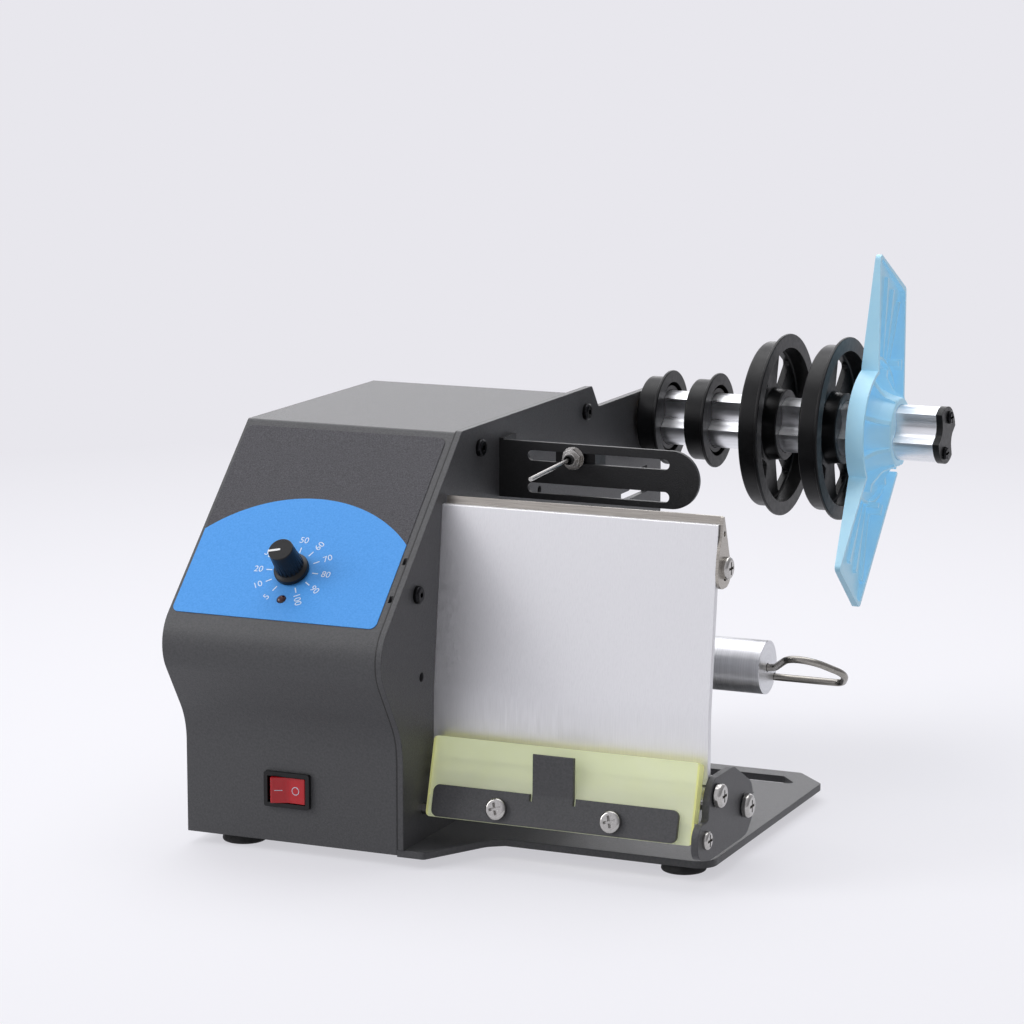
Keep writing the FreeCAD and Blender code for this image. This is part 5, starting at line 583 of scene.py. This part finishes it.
# An open tube whose upper rim is drawn in and laid level with the lower one makes the flat ring
bpy.ops.mesh.primitive_cylinder_add(
    vertices=RING_SIDES, radius=MARK_RADIUS, depth=MARK_STROKE, end_fill_type="NOTHING")
ring = bpy.context.object
ring.name = "rocker_ring"
inner_share = (MARK_RADIUS - MARK_STROKE) / MARK_RADIUS
for vertex in ring.data.vertices:
    if vertex.co.z > 0:
        vertex.co.x *= inner_share
        vertex.co.y *= inner_share
    vertex.co.z = 0
settle(ring, "rocker", white_ink, rocker_face(1))


# Floor and light: a seamless pale floor that fades into the backdrop, a soft sky and three large lamps

BACKDROP = "E8E7ED"
# Near the machine the floor's glow is brighter than the backdrop: a painted pool of light
NEAR_FLOOR_PAINTED_LIGHT = "F4F3F9"
FLOOR_AS_LIT = "A8A9AE"
FLOOR_AS_SEEN = "F0F0F4"
FLOOR_HALF = 14.0
FLOOR_BACK = 4.0
FLOOR_GLOW_SHARE = 0.6
NEAR_REACH = 0.25
FAR_REACH = 1.0
SKY = "F4F5F8"
SKY_LEFT = 0.82
SKY_RIGHT = 0.24
MIRRORED_DIM_START = -0.3
MIRRORED_RIGHT = 0.4


def seen_itself(tree):
    """1 for what the camera sees straight, mirrored or through the sheet, and 0 for light on its way."""
    rays = add_node(tree, "ShaderNodeLightPath")
    seen = rays.outputs["Is Camera Ray"]
    for kind in ("Is Glossy Ray", "Is Transmission Ray"):
        either = add_node(tree, "ShaderNodeMath", {"operation": "MAXIMUM"}, {
            0: seen, 1: rays.outputs[kind]})
        seen = either.outputs["Value"]
    return seen, rays.outputs["Is Glossy Ray"]


bpy.ops.mesh.primitive_plane_add(size=FLOOR_HALF * 2, location=(0, FLOOR_BACK, 0))
floor = bpy.context.object
floor.name = "pale_floor"
floor_paint = bpy.data.materials.new("pale_floor_paint")
floor_paint.use_nodes = True
tree = floor_paint.node_tree
tree.nodes.clear()
seen = seen_itself(tree)[0]
paint = add_node(tree, "ShaderNodeBsdfDiffuse", feeds={
    "Color": blend(tree, seen, hex_colour(FLOOR_AS_LIT), hex_colour(FLOOR_AS_SEEN))})
from_machine = add_node(tree, "ShaderNodeVectorMath", {"operation": "DISTANCE"}, {
    0: add_node(tree, "ShaderNodeTexCoord").outputs["Object"], 1: (0, -FLOOR_BACK, 0)})
farness = add_node(tree, "ShaderNodeMapRange", feeds={
    "Value": from_machine.outputs["Value"], "From Min": NEAR_REACH, "From Max": FAR_REACH})
glow = add_node(tree, "ShaderNodeEmission", feeds={
    "Color": blend(tree, farness.outputs["Result"], hex_colour(NEAR_FLOOR_PAINTED_LIGHT), hex_colour(BACKDROP))})
glow_share = add_node(tree, "ShaderNodeMapRange", feeds={
    "Value": farness.outputs["Result"], "To Min": FLOOR_GLOW_SHARE, "To Max": 1.0})
share = add_node(tree, "ShaderNodeMath", {"operation": "MULTIPLY"}, {
    0: seen, 1: glow_share.outputs["Result"]})
mixed = add_node(tree, "ShaderNodeMixShader", feeds={
    0: share.outputs["Value"], 1: paint.outputs["BSDF"], 2: glow.outputs["Emission"]})
add_node(tree, "ShaderNodeOutputMaterial", feeds={"Surface": mixed.outputs["Shader"]})
floor.data.materials.append(floor_paint)

world = bpy.data.worlds.new("studio")
bpy.context.scene.world = world
world.use_nodes = True
tree = world.node_tree
tree.nodes.clear()
seen, by_mirror = seen_itself(tree)
heading = add_node(tree, "ShaderNodeSeparateXYZ", feeds={
    "Vector": add_node(tree, "ShaderNodeTexCoord").outputs["Generated"]})
sky_strength = add_node(tree, "ShaderNodeMapRange", feeds={
    "Value": heading.outputs["X"], "From Min": -1.0, "From Max": 1.0,
    "To Min": SKY_LEFT, "To Max": SKY_RIGHT})
sky = add_node(tree, "ShaderNodeBackground", feeds={
    "Color": hex_colour(SKY), "Strength": sky_strength.outputs["Result"]})
mirrored = add_node(tree, "ShaderNodeMapRange", feeds={
    "Value": heading.outputs["X"], "From Min": MIRRORED_DIM_START, "From Max": 1.0,
    "To Min": 1.0, "To Max": MIRRORED_RIGHT})
seen_strength = add_node(tree, "ShaderNodeMix", {"data_type": "FLOAT"}, {
    0: by_mirror, 2: 1.0, 3: mirrored.outputs["Result"]})
backdrop = add_node(tree, "ShaderNodeBackground", feeds={
    "Color": hex_colour(BACKDROP), "Strength": seen_strength.outputs[0]})
mixed = add_node(tree, "ShaderNodeMixShader", feeds={
    0: seen, 1: sky.outputs["Background"], 2: backdrop.outputs["Background"]})
add_node(tree, "ShaderNodeOutputWorld", feeds={"Surface": mixed.outputs["Shader"]})


def soft_lamp(name, place, aim, size, watts):
    lamp_data = bpy.data.lights.new(name, "AREA")
    lamp_data.shape = "RECTANGLE"
    lamp_data.size, lamp_data.size_y = size
    lamp_data.energy = watts
    lamp = bpy.data.objects.new(name, lamp_data)
    bpy.context.scene.collection.objects.link(lamp)
    lamp.location = place
    lamp.rotation_euler = (Vector(place) - Vector(aim)).to_track_quat("Z", "Y").to_euler()
    lamp.visible_camera = False


soft_lamp("top_softbox", place=(-0.2, 0.4, 1.45), aim=(0, 0, 0.1), size=(1.4, 1.4), watts=13)
soft_lamp("left_softbox", place=(-1.3, -0.9, 0.9), aim=(0, 0, 0.1), size=(0.8, 1.0), watts=11)
soft_lamp("back_softbox", place=(-0.8, 1.9, 0.75), aim=(0, 0, 0.2), size=(2.2, 0.9), watts=8)

bpy.context.scene.view_settings.view_transform = "Standard"
